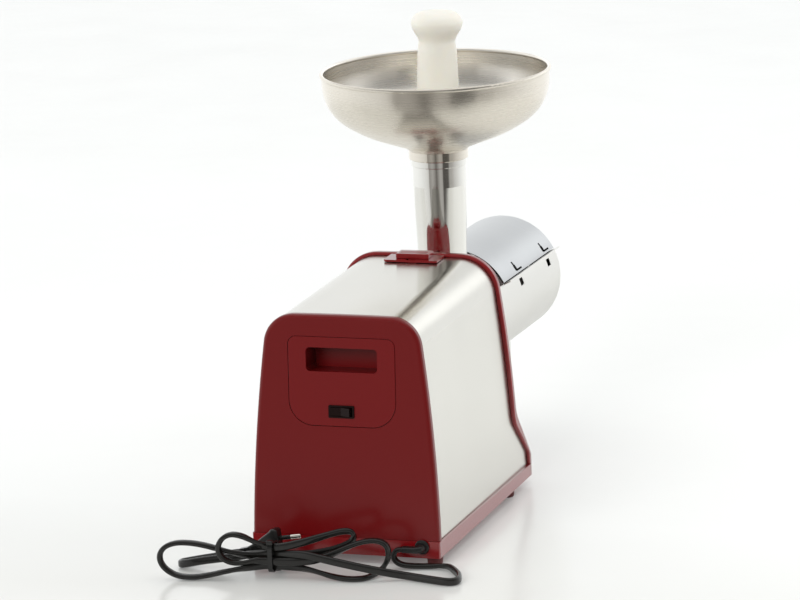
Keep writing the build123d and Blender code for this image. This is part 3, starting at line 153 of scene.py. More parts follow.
# ------------------------------------------------------------------ plastics
def plastic(name, base, dark, light, rough, grain=0.00002, spec=0.5, coat=0.0, pitch=900.0, wave=0.00005, coat_rough=0.12):
    """Moulded plastic: slow colour drift, fine eroded grain, smudges in the gloss."""
    mt, n, b = material(name)
    c = n.coords()
    slow = n.noise(c, 14.0, 3.0)
    fine = n.noise(c, pitch, 2.0)
    smear = n.noise(c, 26.0, 2.0, 0.5)
    col = n.mix(n.span(slow, 0.3, 0.7, 0, 1), dark, light)
    col = n.mix(n.span(fine, 0.35, 0.65, 0.3, 0.7), col, base)
    n.put(b.inputs["Base Color"], col)
    n.put(b.inputs["Roughness"], n.span(smear, 0.3, 0.7, rough * 0.95, rough * 1.05))
    b.inputs["Specular IOR Level"].default_value = spec
    b.inputs["Coat Weight"].default_value = coat
    b.inputs["Coat Roughness"].default_value = coat_rough
    h = n.bump(fine, 0.35, grain)
    n.put(b.inputs["Normal"], n.bump(slow, 0.2, wave, h))
    return mt


RED = plastic("red_plastic", (0.149, 0.0042, 0.0050), (0.146, 0.0041, 0.0049), (0.152, 0.0043, 0.0051), 0.29, grain=0.000003, spec=0.24, coat=0.24, coat_rough=0.20)
RED_PANEL = plastic("red_panel_plastic", (0.160, 0.0045, 0.0055), (0.157, 0.0044, 0.0054), (0.163, 0.0046, 0.0056), 0.30, grain=0.000003, spec=0.26, coat=0.16, coat_rough=0.22)
# the trim and tray reds are brighter copies of the same red plastic: painted light for their lit faces
RED_GLOSS_LIT = plastic("red_trim_plastic_lit", (0.225, 0.0046, 0.0066), (0.220, 0.0045, 0.0064), (0.230, 0.0047, 0.0068), 0.16, grain=0.000002, coat=0.4)
RED_TRAY_LIT = plastic("red_tray_plastic_lit", (0.215, 0.0040, 0.0062), (0.210, 0.0039, 0.0060), (0.220, 0.0041, 0.0064), 0.20, grain=0.000003, coat=0.7)
CREAM = plastic("cream_plastic", (0.90, 0.875, 0.79), (0.885, 0.86, 0.77), (0.915, 0.89, 0.81), 0.42)
b = CREAM.node_tree.nodes["Principled BSDF"]
b.inputs["Subsurface Weight"].default_value = 0.25
b.inputs["Subsurface Radius"].default_value = (0.008, 0.006, 0.004)
b.inputs["Subsurface Scale"].default_value = 0.6
# these black plastics are near black, their own colour, with a reddish tint that is painted reflection of the red
# casing around them
BLACK = plastic("black_plastic", (0.0095, 0.0040, 0.0036), (0.0075, 0.0032, 0.0029), (0.0115, 0.0048, 0.0043), 0.34, spec=0.12)
ROCKER = plastic("rocker_plastic", (0.0095, 0.0040, 0.0036), (0.0075, 0.0032, 0.0029), (0.0115, 0.0048, 0.0043), 0.26, spec=0.13)
CORD = plastic("cord_vinyl", (0.0078, 0.0074, 0.0064), (0.0062, 0.0058, 0.0050), (0.0098, 0.0092, 0.0080), 0.25, grain=0.00002, pitch=600.0)
PLUG = plastic("plug_vinyl", (0.0072, 0.0071, 0.0067), (0.0058, 0.0057, 0.0054), (0.0090, 0.0088, 0.0083), 0.27, grain=0.00002)
RUBBER = plastic("foot_rubber", (0.085, 0.016, 0.016), (0.065, 0.013, 0.013), (0.105, 0.02, 0.02), 0.62, grain=0.00006)
SEAL = plastic("seal_rubber", (0.03, 0.03, 0.032), (0.022, 0.022, 0.024), (0.045, 0.045, 0.047), 0.6, grain=0.00006)
NYLON = plastic("gear_nylon", (0.62, 0.60, 0.54), (0.58, 0.56, 0.50), (0.66, 0.64, 0.58), 0.38)
CASE_GREY = plastic("gear_case_plastic", (0.10, 0.105, 0.11), (0.085, 0.09, 0.095), (0.12, 0.125, 0.13), 0.45, grain=0.00005)
WHITE_SCREW = plastic("feed_screw_plastic", (0.78, 0.77, 0.72), (0.74, 0.73, 0.68), (0.82, 0.81, 0.77), 0.36)
CAPACITOR = plastic("capacitor_plastic", (0.30, 0.235, 0.07), (0.27, 0.21, 0.06), (0.34, 0.265, 0.085), 0.4)
LEADS = plastic("lead_insulation", (0.02, 0.05, 0.16), (0.015, 0.04, 0.13), (0.03, 0.065, 0.2), 0.4)
INSULATOR = plastic("commutator_resin", (0.10, 0.045, 0.018), (0.085, 0.038, 0.015), (0.12, 0.055, 0.022), 0.4)


# ------------------------------------------------------------------ metals
def brushed(name, base, rough, stretch, streak=0.06, bump=0.000006, aniso=0.0, turn=0.25, rotate=(0, 0, 0), fine=420.0, blotch=0.03):
    """Sheet steel with fine grinding lines; stretch is small along the lines."""
    mt, n, b = material(name)
    c = n.coords(scale=stretch, rotate=rotate)
    lines = n.noise(c, fine, 4.0, 0.65)
    wide = n.noise(c, fine * 0.16, 3.0, 0.6)
    cloud = n.noise(n.coords(), 11.0, 3.0)
    both = n.math("ADD", n.math("MULTIPLY", lines, 0.65), n.math("MULTIPLY", wide, 0.35))
    lo = tuple(v * (1 - streak) for v in base)
    hi = tuple(min(1.0, v * (1 + streak)) for v in base)
    col = n.mix(n.span(both, 0.3, 0.7, 0, 1), lo, hi)
    col = n.mix(n.span(cloud, 0.35, 0.7, 0, blotch * 4), col, tuple(v * 0.86 for v in base))
    n.put(b.inputs["Base Color"], col)
    b.inputs["Metallic"].default_value = 1.0
    n.put(b.inputs["Roughness"], n.span(n.math("ADD", both, n.math("MULTIPLY", cloud, 0.35)), 0.35, 0.95, rough * 0.78, rough * 1.2))
    if aniso:
        b.inputs["Anisotropic"].default_value = aniso
        b.inputs["Anisotropic Rotation"].default_value = turn
        tan = n.new("ShaderNodeTangent", direction_type="RADIAL", axis="Y")
        n.put(b.inputs["Tangent"], tan.outputs[0])
    n.put(b.inputs["Normal"], n.bump(both, 0.5, bump))
    return mt


def turned(name, base, rough, centre_y=None, axis="Z", pitch=700.0, streak=0.06, bump=0.000006, aniso=0.0):
    """Spun or turned metal: the lines run round the axis."""
    mt, n, b = material(name)
    c = n.new("ShaderNodeTexCoord")
    sep = n.new("ShaderNodeSeparateXYZ")
    n.put(sep.inputs[0], c.outputs["Object"])
    if axis == "Z":
        dy = n.math("SUBTRACT", sep.outputs[1], centre_y)
        rad = n.math("SQRT", n.math("ADD", n.math("MULTIPLY", sep.outputs[0], sep.outputs[0]), n.math("MULTIPLY", dy, dy)))
        along = sep.outputs[2]
    else:
        dz = n.math("SUBTRACT", sep.outputs[2], 0.144)
        rad = n.math("SQRT", n.math("ADD", n.math("MULTIPLY", sep.outputs[0], sep.outputs[0]), n.math("MULTIPLY", dz, dz)))
        along = sep.outputs[1]
    comb = n.new("ShaderNodeCombineXYZ")
    n.put(comb.inputs[0], rad)
    n.put(comb.inputs[2], along)
    lines = n.noise(comb.outputs[0], pitch, 4.0, 0.7)
    wide = n.noise(comb.outputs[0], pitch * 0.18, 3.0, 0.6)
    cloud = n.noise(n.coords(), 16.0, 3.0)
    both = n.math("ADD", n.math("MULTIPLY", lines, 0.6), n.math("MULTIPLY", wide, 0.4))
    lo = tuple(v * (1 - streak) for v in base)
    hi = tuple(min(1.0, v * (1 + streak)) for v in base)
    col = n.mix(n.span(both, 0.3, 0.7, 0, 1), lo, hi)
    n.put(b.inputs["Base Color"], col)
    b.inputs["Metallic"].default_value = 1.0
    n.put(b.inputs["Roughness"], n.span(n.math("ADD", both, n.math("MULTIPLY", cloud, 0.3)), 0.35, 0.9, rough * 0.8, rough * 1.2))
    if aniso:
        b.inputs["Anisotropic"].default_value = aniso
        b.inputs["Anisotropic Rotation"].default_value = 0.25
        tan = n.new("ShaderNodeTangent", direction_type="RADIAL", axis=axis)
        n.put(b.inputs["Tangent"], tan.outputs[0])
    n.put(b.inputs["Normal"], n.bump(both, 0.5, bump))
    return mt


def painted_shade_inside(mt, radius, centre_z, tilt_deg, shade, end_y):
    """Paints shade on the inner side of a sheet bent round the Y axis: a dark base colour stands in for the shadow
    inside, and the roughness is raised to dull it.
    """
    n = Net(mt.node_tree)
    b = mt.node_tree.nodes["Principled BSDF"]
    c = n.new("ShaderNodeTexCoord")
    sep = n.new("ShaderNodeSeparateXYZ")
    n.put(sep.inputs[0], c.outputs["Object"])
    drop = n.math("MULTIPLY", sep.outputs[1], math.tan(math.radians(tilt_deg)))
    dz = n.math("SUBTRACT", n.math("SUBTRACT", sep.outputs[2], centre_z), drop)
    rad = n.math("SQRT", n.math("ADD", n.math("MULTIPLY", sep.outputs[0], sep.outputs[0]), n.math("MULTIPLY", dz, dz)))
    along = n.math("ADD", sep.outputs[1], n.math("MULTIPLY", n.math("SUBTRACT", sep.outputs[2], centre_z), math.sin(math.radians(tilt_deg))))
    inner = n.math("MULTIPLY", n.math("LESS_THAN", rad, radius), n.math("GREATER_THAN", along, end_y))
    # the dark base colour mixed in here is painted shade, not the steel's own colour
    for key, value in (("Base Color", (shade * 0.98, shade, shade, 1)), ("Roughness", 0.9)):
        old = b.inputs[key].links[0].from_socket
        if key == "Base Color":
            n.put(b.inputs[key], n.mix(inner, old, value[:3]))
        else:
            mixf = n.new("ShaderNodeMix", data_type="FLOAT")
            n.put(mixf.inputs["Factor"], inner)
            n.put(mixf.inputs[2], old)
            n.put(mixf.inputs[3], value)
            n.put(b.inputs[key], mixf.outputs[0])


def painted_light_inside(mt, axis_y, colour, collar_z):
    """Gives the side of a bowl that faces its own upright axis a lighter base colour, which is painted light, and its
    collar a polish.
    """
    n = Net(mt.node_tree)
    b = mt.node_tree.nodes["Principled BSDF"]
    c = n.new("ShaderNodeTexCoord")
    away = n.new("ShaderNodeVectorMath", operation="SUBTRACT")
    n.put(away.inputs[0], c.outputs["Object"])
    away.inputs[1].default_value = (0.0, axis_y, 0.0)
    flat = n.new("ShaderNodeVectorMath", operation="MULTIPLY")
    n.put(flat.inputs[0], away.outputs[0])
    flat.inputs[1].default_value = (1.0, 1.0, 0.0)
    facing = n.new("ShaderNodeVectorMath", operation="DOT_PRODUCT")
    n.put(facing.inputs[0], flat.outputs[0])
    n.put(facing.inputs[1], c.outputs["Normal"])
    inner = n.math("LESS_THAN", facing.outputs["Value"], 0.0)
    # the lighter colour on the bowl's inner side is painted light
    n.put(b.inputs["Base Color"], n.mix(inner, b.inputs["Base Color"].links[0].from_socket, colour))
    sep = n.new("ShaderNodeSeparateXYZ")
    n.put(sep.inputs[0], c.outputs["Object"])
    polish = n.new("ShaderNodeMix", data_type="FLOAT")
    n.put(polish.inputs["Factor"], n.math("LESS_THAN", sep.outputs[2], collar_z))
    n.put(polish.inputs[2], b.inputs["Roughness"].links[0].from_socket)
    n.put(polish.inputs[3], 0.10)
    n.put(b.inputs["Roughness"], polish.outputs[0])


STEEL_SHELL = brushed("brushed_steel", (0.672, 0.658, 0.614), 0.19, (0.02, 1.0, 0.02), streak=0.025, bump=0.000001, aniso=0.82, fine=1600.0, blotch=0.025)
STEEL_FUNNEL = turned("spun_steel", (0.735, 0.69, 0.61), 0.27, -0.048, "Z", streak=0.03, bump=0.0000007, aniso=0.80)
# painted light on the inside of the funnel bowl
painted_light_inside(STEEL_FUNNEL, -0.048, (0.92, 0.88, 0.81), 0.294)
STEEL_NECK = turned("polished_steel", (0.77, 0.76, 0.72), 0.085, -0.048, "Z", pitch=500.0, streak=0.02, bump=0.000002)
STEEL_GUARD = brushed("guard_sheet_lower", (0.715, 0.705, 0.672), 0.34, (0.03, 1.0, 0.03), streak=0.025, bump=0.000002, fine=700.0, blotch=0.01)
# the upper guard half gets a darker, bluer copy of the guard steel: painted shade
STEEL_GUARD_UP_SHADED = brushed("guard_sheet_upper_shaded", (0.49, 0.50, 0.51), 0.30, (0.03, 1.0, 0.03), streak=0.025, bump=0.000002, fine=700.0, blotch=0.01)
# painted shade on the insides of both guard halves
painted_shade_inside(STEEL_GUARD, 0.0533, 0.144, 1.15, 0.10, -0.2284)
painted_shade_inside(STEEL_GUARD_UP_SHADED, 0.0533, 0.144, 1.15, 0.10, -0.2284)
# the filter steel is made dark grey so the cone seen through the guard's slots looks shaded: painted shade
STEEL_FILTER_SHADED = turned("filter_steel_shaded", (0.36, 0.35, 0.335), 0.50, None, "Y", pitch=500.0)
STEEL_PLAIN = brushed("plain_steel", (0.62, 0.61, 0.59), 0.30, (1.0, 0.3, 1.0))
# dark steel: the own colour of the motor's lamination cores, and painted shade on the guard's end plate
STEEL_DARK = brushed("lamination_steel_and_painted_shade", (0.30, 0.30, 0.31), 0.42, (0.05, 1.0, 0.05), streak=0.25, fine=900.0)
NICKEL = turned("nickel_pins", (0.80, 0.77, 0.71), 0.16, None, "Y", pitch=900.0, streak=0.03)
ALUMINIUM = brushed("cast_aluminium", (0.66, 0.66, 0.66), 0.38, (1.0, 1.0, 1.0), streak=0.08, fine=240.0, bump=0.00003)
COPPER = brushed("enamelled_copper", (0.72, 0.30, 0.13), 0.30, (0.06, 1.0, 0.06), streak=0.22, fine=700.0, bump=0.00008)
BRONZE = brushed("sintered_bronze", (0.62, 0.43, 0.20), 0.40, (1.0, 1.0, 1.0), streak=0.12, fine=900.0, bump=0.00002)
CARBON = plastic("carbon_brush", (0.025, 0.025, 0.027), (0.018, 0.018, 0.02), (0.035, 0.035, 0.037), 0.5, grain=0.00006)

LOOK = {
    "rear_cover": RED, "grip_panel": RED_PANEL, "base_tray": RED_TRAY_LIT, "front_cover": RED_GLOSS_LIT, "release_latch": RED_GLOSS_LIT,
    "feet": RUBBER, "housing_shell": STEEL_SHELL, "switch_body": BLACK, "switch_rocker": ROCKER,
    "press_body": STEEL_NECK, "funnel": STEEL_FUNNEL, "pusher": CREAM, "guard_upper": STEEL_GUARD_UP_SHADED, "guard_lower": STEEL_GUARD,
    # the guard's end plate takes the dark steel so the gap behind the guard looks shaded: painted shade
    "guard_end_plate": STEEL_DARK, "ring_nut": STEEL_PLAIN, "filter_cone": STEEL_FILTER_SHADED, "feed_screw": WHITE_SCREW,
    "head_seal": SEAL, "head_ring": ALUMINIUM, "head_ring_screws": STEEL_PLAIN, "lock_bolt": STEEL_PLAIN,
    "gear_case": CASE_GREY, "gear_cover": CASE_GREY, "gear_cover_screws": STEEL_PLAIN, "intermediate_axles": STEEL_PLAIN,
    "motor_pinion": STEEL_PLAIN, "first_gear": NYLON, "first_pinion": NYLON, "second_gear": NYLON, "second_pinion": NYLON,
    "output_gear": NYLON, "output_shaft": STEEL_PLAIN, "output_bushes": BRONZE, "shaft_seal": SEAL, "motor_shaft": STEEL_PLAIN,
    "rotor_core": STEEL_DARK, "rotor_windings": COPPER, "commutator": COPPER, "cooling_fan": BLACK, "stator_core": STEEL_DARK,
    "stator_spacers": STEEL_PLAIN, "field_coils": COPPER, "motor_bearings": STEEL_PLAIN, "motor_bracket": ALUMINIUM,
    "motor_tie_bolts": STEEL_PLAIN, "brush_holders": INSULATOR, "carbon_brushes": CARBON, "capacitor": CAPACITOR,
    "terminal_block": NYLON, "mount_screws": STEEL_PLAIN, "base_screws": STEEL_PLAIN, "inner_leads": LEADS,
    "strain_relief": PLUG, "cord_lead": CORD, "cord_hank": CORD, "cord_tie": PLUG, "plug_body": PLUG, "plug_pins": NICKEL,
}
for name, o in nodes.items():
    mt = LOOK[name]
    if o.material_slots:
        for s in o.material_slots:
            s.material = mt
    else:
        o.data.materials.append(mt)


# ------------------------------------------------------------------ mains cord
HY, VZ = (0.0, 1.0, 0.0), (0.0, 0.0, 1.0)
M1, M0, M2 = (0.0, 0.92, 0.38), (0.0, 0.71, 0.71), (0.0, 0.38, 0.92)
# control points in millimetres and the direction of the flat cord's wide side
ROUTE = [
    # out of the relief, a tight turn down and back along the floor
    (-56.7, 249.1, 16.6, HY), (-51.8, 249.6, 16.9, HY), (-47.6, 250.4, 15.6, HY), (-45.9, 251.2, 11.6, HY), (-47.4, 251.9, 7.4, HY),
    (-52.2, 252.2, 4.5, HY), (-59.8, 251.0, 3.3, HY), (-68.6, 248.6, 2.9, HY), (-77.0, 246.4, 2.8, HY), (-85.4, 245.6, 3.1, M1),
    (-93.4, 247.9, 3.5, M0), (-100.6, 257.3, 3.6, VZ), (-109.5, 270.3, 3.6, VZ), (-112.5, 283.5, 3.6, VZ), (-107.6, 289.6, 3.6, VZ),
    (-93.4, 286.7, 3.6, VZ), (-77.4, 282.4, 3.6, VZ), (-64.3, 279.5, 4.0, VZ), (-54.3, 283.0, 6.2, VZ), (-45.7, 288.0, 9.1, VZ),
    (-35.4, 290.5, 11.5, VZ), (-22.2, 292.0, 14.0, VZ), (-8.0, 293.4, 16.9, VZ), (6.6, 293.6, 19.7, VZ), (19.2, 292.4, 21.4, VZ),
    (39.0, 289.1, 19.0, VZ), (52.0, 289.1, 19.0, VZ),
    # large left loop
    (60.6, 290.4, 17.3, VZ), (71.7, 293.5, 18.5, M0), (82.2, 298.0, 21.9, M1), (92.0, 302.0, 25.7, HY), (100.9, 306.0, 29.1, HY),
    (110.7, 310.0, 31.6, HY), (121.5, 313.0, 32.1, HY), (130.5, 315.0, 29.3, HY), (135.8, 316.0, 23.3, HY), (135.9, 316.0, 15.8, HY),
    (131.2, 315.5, 8.9, HY), (122.5, 312.5, 2.9, HY), (107.6, 313.3, 2.8, HY), (95.3, 308.1, 4.0, HY), (82.4, 309.0, 7.8, HY),
    (71.8, 304.0, 9.1, M1), (63.2, 296.5, 8.8, M0), (52.0, 289.0, 9.4, VZ), (40.0, 289.0, 9.4, VZ),
    # large right loop
    (19.9, 287.4, 7.7, M0), (5.8, 290.5, 6.0, M1), (-7.3, 291.0, 2.9, HY), (-21.3, 293.6, 2.6, (-0.2, 0.98, 0.0)),
    (-32.4, 290.4, 2.6, (-0.6, 0.8, 0.0)), (-37.8, 280.8, 2.9, (-0.75, 0.62, 0.2)), (-41.3, 270.4, 4.4, (-0.45, 0.89, 0.0)),
    (-46.7, 270.5, 11.3, HY), (-48.6, 269.5, 18.5, HY), (-47.4, 270.0, 25.8, HY), (-42.0, 271.5, 29.9, HY), (-33.7, 274.0, 30.7, HY),
    (-24.0, 277.5, 28.8, HY), (-13.6, 280.8, 24.4, M1), (-2.9, 283.6, 19.5, M0), (7.5, 286.8, 15.6, M2), (18.5, 290.6, 14.4, VZ),
    (39.0, 293.8, 14.2, VZ), (52.0, 293.8, 14.2, VZ),
    # small left loop
    (58.4, 296.6, 15.0, M0), (66.2, 299.5, 13.5, M1), (74.6, 303.0, 13.8, HY), (81.9, 306.5, 17.0, HY), (86.5, 308.5, 23.1, HY),
    (86.6, 309.0, 30.4, HY), (82.4, 308.5, 36.9, HY), (75.4, 306.5, 40.1, HY), (67.1, 303.0, 37.8, HY), (60.7, 298.4, 32.8, M1),
    (55.4, 294.4, 28.3, M0), (50.0, 291.0, 25.4, VZ), (40.0, 291.0, 25.4, VZ),
    # slim right loop
    (22.4, 287.4, 29.2, VZ), (10.5, 283.4, 32.4, M2), (-1.2, 279.0, 35.7, M0), (-10.1, 275.4, 37.7, M0), (-16.6, 272.8, 37.5, M0),
    (-19.7, 271.2, 33.6, M0), (-17.8, 271.4, 28.5, M0), (-11.7, 273.0, 25.1, M0), (-3.0, 275.8, 22.1, M0), (7.4, 279.2, 19.7, M2),
    (19.3, 282.8, 18.2, VZ), (40.0, 284.8, 18.0, VZ), (53.0, 284.8, 18.0, VZ),
    # flat fold at the left, back to the plug
    (63.4, 285.2, 17.0, VZ), (74.8, 286.0, 15.0, VZ), (87.1, 286.5, 12.9, VZ), (99.7, 286.5, 10.9, VZ), (112.2, 286.8, 8.7, VZ),
    (122.1, 286.8, 6.4, VZ), (129.2, 285.0, 4.7, VZ), (132.4, 281.0, 3.7, VZ), (132.5, 277.2, 3.5, VZ), (127.6, 275.4, 4.3, VZ),
    (116.8, 275.2, 6.7, VZ), (103.8, 275.8, 9.5, VZ), (92.5, 274.8, 11.6, VZ), (86.5, 273.9, 13.1, VZ), (80.3, 273.6, 13.8, VZ),
]
CORD_W, CORD_T = 6.8 * MM, 4.2 * MM


def nurbs_points(pts, res=8):
    """Points read from a smooth spline that has pts as its control points."""
    cu = bpy.data.curves.new("line", "CURVE")
    cu.dimensions = "3D"
    cu.resolution_u = res
    sp = cu.splines.new("NURBS")
    sp.points.add(len(pts) - 1)
    for q, p in zip(sp.points, pts):
        q.co = (*p, 1.0)
    sp.order_u = 3
    sp.use_endpoint_u = True
    ob = bpy.data.objects.new("line", cu)
    scene.collection.objects.link(ob)
    bpy.context.view_layer.update()
    me = bpy.data.meshes.new_from_object(ob.evaluated_get(bpy.context.evaluated_depsgraph_get()))
    out = [v.co.copy() for v in me.vertices]
    bpy.data.objects.remove(ob)
    bpy.data.curves.remove(cu)
    bpy.data.meshes.remove(me)
    return out


def mesh_object(name, bm, mats, body, smooth=True, bevel=None):
    me = bpy.data.meshes.new(name)
    bm.normal_update()
    bmesh.ops.recalc_face_normals(bm, faces=bm.faces[:])
    bm.to_mesh(me)
    bm.free()
    for mt in mats:
        me.materials.append(mt)
    if smooth:
        me.polygons.foreach_set("use_smooth", [True] * len(me.polygons))
    ob = bpy.data.objects.new(name, me)
    scene.collection.objects.link(ob)
    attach(ob, body)
    return ob


def stadium(w, t, n=7):
    """Closed outline of a flat cord: two half rounds joined by flats."""
    r = t / 2
    c = max(w / 2 - r, 0.0)
    pts = []
    for i in range(n + 1):
        a = -math.pi / 2 + math.pi * i / n
        pts.append((c + r * math.cos(a), r * math.sin(a)))
    for i in range(n + 1):
        a = math.pi / 2 + math.pi * i / n
        pts.append((-c + r * math.cos(a), r * math.sin(a)))
    return pts


def frames(line, wide_line):
    """Wide and thin directions along a line, from a second line beside it."""
    out = []
    n = len(line)
    for i in range(n):
        t = (line[min(i + 1, n - 1)] - line[max(i - 1, 0)]).normalized()
        w = wide_line[i] - line[i]
        w = (w - t * w.dot(t)).normalized()
        out.append((w, t.cross(w)))
    return out


def loft(bm, rings, close_ends=True):
    """Skin between rings of points with the same count; returns the rings of new vertices."""
    vr = [[bm.verts.new(p) for p in ring] for ring in rings]
    k = len(vr[0])
    for a, c in zip(vr, vr[1:]):
        for j in range(k):
            bm.faces.new((a[j], a[(j + 1) % k], c[(j + 1) % k], c[j]))
    if close_ends:
        bm.faces.new(list(reversed(vr[0])))
        bm.faces.new(vr[-1])
    return vr


route = [Vector(p[:3]) * MM for p in ROUTE]
beside = [Vector(p[:3]) * MM + Vector(p[3]) * 2 * MM for p in ROUTE]
line = nurbs_points(route)
line_w = nurbs_points(beside)
single = [i for i in range(len(line)) if i == 0 or (line[i] - line[i - 1]).length > 1e-5]
line, line_w = [line[i] for i in single], [line_w[i] for i in single]
dirs = frames(line, line_w)
sec = stadium(CORD_W, CORD_T)
bm = bmesh.new()
loft(bm, [[p + w * a + t * c for a, c in sec] for p, (w, t) in zip(line, dirs)])
cord = mesh_object("mains_cord", bm, [CORD], "casing")
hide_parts("cord_lead", "cord_hank")
# strain relief: a collar against the tray and a ribbed, flattened boot that tapers to the cord
BOOT = [(-67.5, 232.6, 16.6), (-67.5, 237.0, 16.6), (-67.5, 241.0, 16.6), (-67.3, 245.6, 16.6), (-65.6, 248.2, 16.6), (-61.8, 249.0, 16.6),
        (-57.6, 249.0, 16.6), (-53.4, 249.4, 16.7)]
boot_line = nurbs_points([Vector(p) * MM for p in BOOT], 10)
boot_line = [p for i, p in enumerate(boot_line) if i == 0 or (p - boot_line[i - 1]).length > 1e-5]
walk = [0.0]
for a, c in zip(boot_line, boot_line[1:]):
    walk.append(walk[-1] + (c - a).length)
rings = []
for i, p in enumerate(boot_line):
    t = (boot_line[min(i + 1, len(boot_line) - 1)] - boot_line[max(i - 1, 0)]).normalized()
    wide = t.cross(Vector((0, 0, 1))).normalized()
    s_mm = walk[i] / MM
    if s_mm < 8.6:
        wd, th = 9.0, 9.0
    else:
        k = min((s_mm - 8.6) / (walk[-1] / MM - 8.6), 1.0)
        rib = 0.22 if int((s_mm - 8.6) / 1.25) % 2 == 0 and k < 0.93 else 0.0
        wd, th = 8.4 - 0.9 * k + 2 * rib, 7.4 - 2.4 * min(2.0 * k, 1.0) + 2 * rib
    rings.append([p + wide * a + Vector((0, 0, 1)) * c for a, c in stadium(wd * MM, th * MM, 9)])
bm = bmesh.new()
loft(bm, rings)
for y0, y1, r0, r1 in ((231.9, 234.9, 6.0, 6.0), (239.95, 241.6, 6.2, 6.2)):
    prof = [(y0, r0 - 0.5), (y0 + 0.4, r0), (y1 - 0.8, r1), (y1 - 0.2, r1 - 0.5), (y1, r1 - 1.3)]
    loft(bm, [[Vector((-67.5 + r * math.cos(2 * math.pi * j / 40), y, 16.6 + r * math.sin(2 * math.pi * j / 40))) * MM for j in range(40)] for y, r in prof])
boot = mesh_object("cord_boot", bm, [PLUG], "casing")
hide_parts("strain_relief")

# ------------------------------------------------------------------ perforated filter cone
AXIS_Z = 144.0
AROUND, ROWS = ((52, 38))
HOLES_Y0, HOLES_Y1 = -98.0, -223.0


def cone_r(y, inner=False):
    return 29.4 - (29.4 - 16.6) * (-92.0 - y) / 136.0 + (0.0 if inner else 0.7)


def round_y(r, a, y):
    return Vector((r * math.cos(a), y, AXIS_Z + r * math.sin(a))) * MM


def lathe(bm, profile, count, shift=0.0):
    """Closed ring about the press axis from a closed (y, r) outline."""
    rings = [[bm.verts.new(round_y(r, 2 * math.pi * (i + shift) / count, y)) for y, r in profile] for i in range(count)]
    k = len(profile)
    for i in range(count):
        a, c = rings[i], rings[(i + 1) % count]
        for j in range(k):
            bm.faces.new((a[j], a[(j + 1) % k], c[(j + 1) % k], c[j]))


bm = bmesh.new()
pitch_y = (HOLES_Y1 - HOLES_Y0) / ROWS
pitch_a = 2 * math.pi / AROUND
EDGE = [(0, 0), (0.5, 0), (1, 0), (1, 0.5), (1, 1), (0.5, 1), (0, 1), (0, 0.5)]
for j in range(ROWS):
    ym = HOLES_Y0 + (j + 0.5) * pitch_y
    rim = 0.31 * min(abs(pitch_y), cone_r(ym) * pitch_a)
    for i in range(AROUND):
        mid_a = (i + 0.5 + 0.5 * (j + 0.5)) * pitch_a
        layers = []
        for inner in (False, True):
            out = [bm.verts.new(round_y(cone_r(HOLES_Y0 + (j + v) * pitch_y, inner), (i + u + 0.5 * (j + v)) * pitch_a, HOLES_Y0 + (j + v) * pitch_y)) for u, v in EDGE]
            hole = []
            for k in range(8):
                t = math.radians(225 + 45 * k)
                y = ym - rim * math.sin(t)
                r = cone_r(y, inner)
                hole.append(bm.verts.new(round_y(r, mid_a + rim * math.cos(t) / cone_r(ym), y)))
            for k in range(8):
                bm.faces.new((out[k], out[(k + 1) % 8], hole[(k + 1) % 8], hole[k]))
            layers.append(hole)
        for k in range(8):
            bm.faces.new((layers[0][k], layers[0][(k + 1) % 8], layers[1][(k + 1) % 8], layers[1][k]))
lathe(bm, [(-86.2, 29.4), (-86.2, 33.2), (-88.2, 33.2), (-88.2, 30.1), (-92.0, 30.1), (HOLES_Y0, cone_r(HOLES_Y0)),
           (HOLES_Y0, cone_r(HOLES_Y0, True)), (-92.0, 29.4)], 2 * AROUND)
lathe(bm, [(HOLES_Y1, cone_r(HOLES_Y1)), (-225.8, cone_r(-225.8)), (-225.8, 23.2), (-226.4, 23.2), (-226.4, cone_r(-226.4)), (-228.0, 17.3), (-228.0, 19.6), (-230.0, 20.4), (-238.8, 20.4), (-240.0, 19.8), (-240.0, 18.88),
           (-232.0, 17.6), (-228.0, 16.6), (HOLES_Y1, cone_r(HOLES_Y1, True))], 2 * AROUND, ROWS % 2 * 0.0)
bmesh.ops.remove_doubles(bm, verts=bm.verts[:], dist=1e-6)
# the perforated cone carries the dark filter steel, which is painted shade
sieve = mesh_object("perforated_cone", bm, [STEEL_FILTER_SHADED], "casing")
sieve.data.set_sharp_from_angle(angle=math.radians(35))
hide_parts("filter_cone")

# ------------------------------------------------------------------ floor, light
me = bpy.data.meshes.new("floor")
S = 9.0
me.from_pydata([(-S, -S, 0), (S, -S, 0), (S, S, 0), (-S, S, 0)], [], [(0, 1, 2, 3)])
floor = bpy.data.objects.new("floor", me)
scene.collection.objects.link(floor)
mt, n, b = material("floor_white")
n.put(b.inputs["Base Color"], n.mix(n.span(n.noise(n.coords(), 2.2, 2.0), 0.35, 0.65, 0, 1), (0.795, 0.80, 0.785), (0.815, 0.82, 0.805)))
n.put(b.inputs["Roughness"], n.span(n.noise(n.coords(), 9.0, 2.0), 0.3, 0.7, 0.16, 0.24))
b.inputs["Specular IOR Level"].default_value = 0.5
b.inputs["Emission Color"].default_value = (0.97, 1.0, 1.0, 1)
b.inputs["Emission Strength"].default_value = 0.093
lp = n.new("ShaderNodeLightPath")
geo = n.new("ShaderNodeNewGeometry")
dist = n.new("ShaderNodeVectorMath", operation="LENGTH")
n.put(dist.inputs[0], geo.outputs["Position"])
psep = n.new("ShaderNodeSeparateXYZ")
n.put(psep.inputs[0], geo.outputs["Position"])
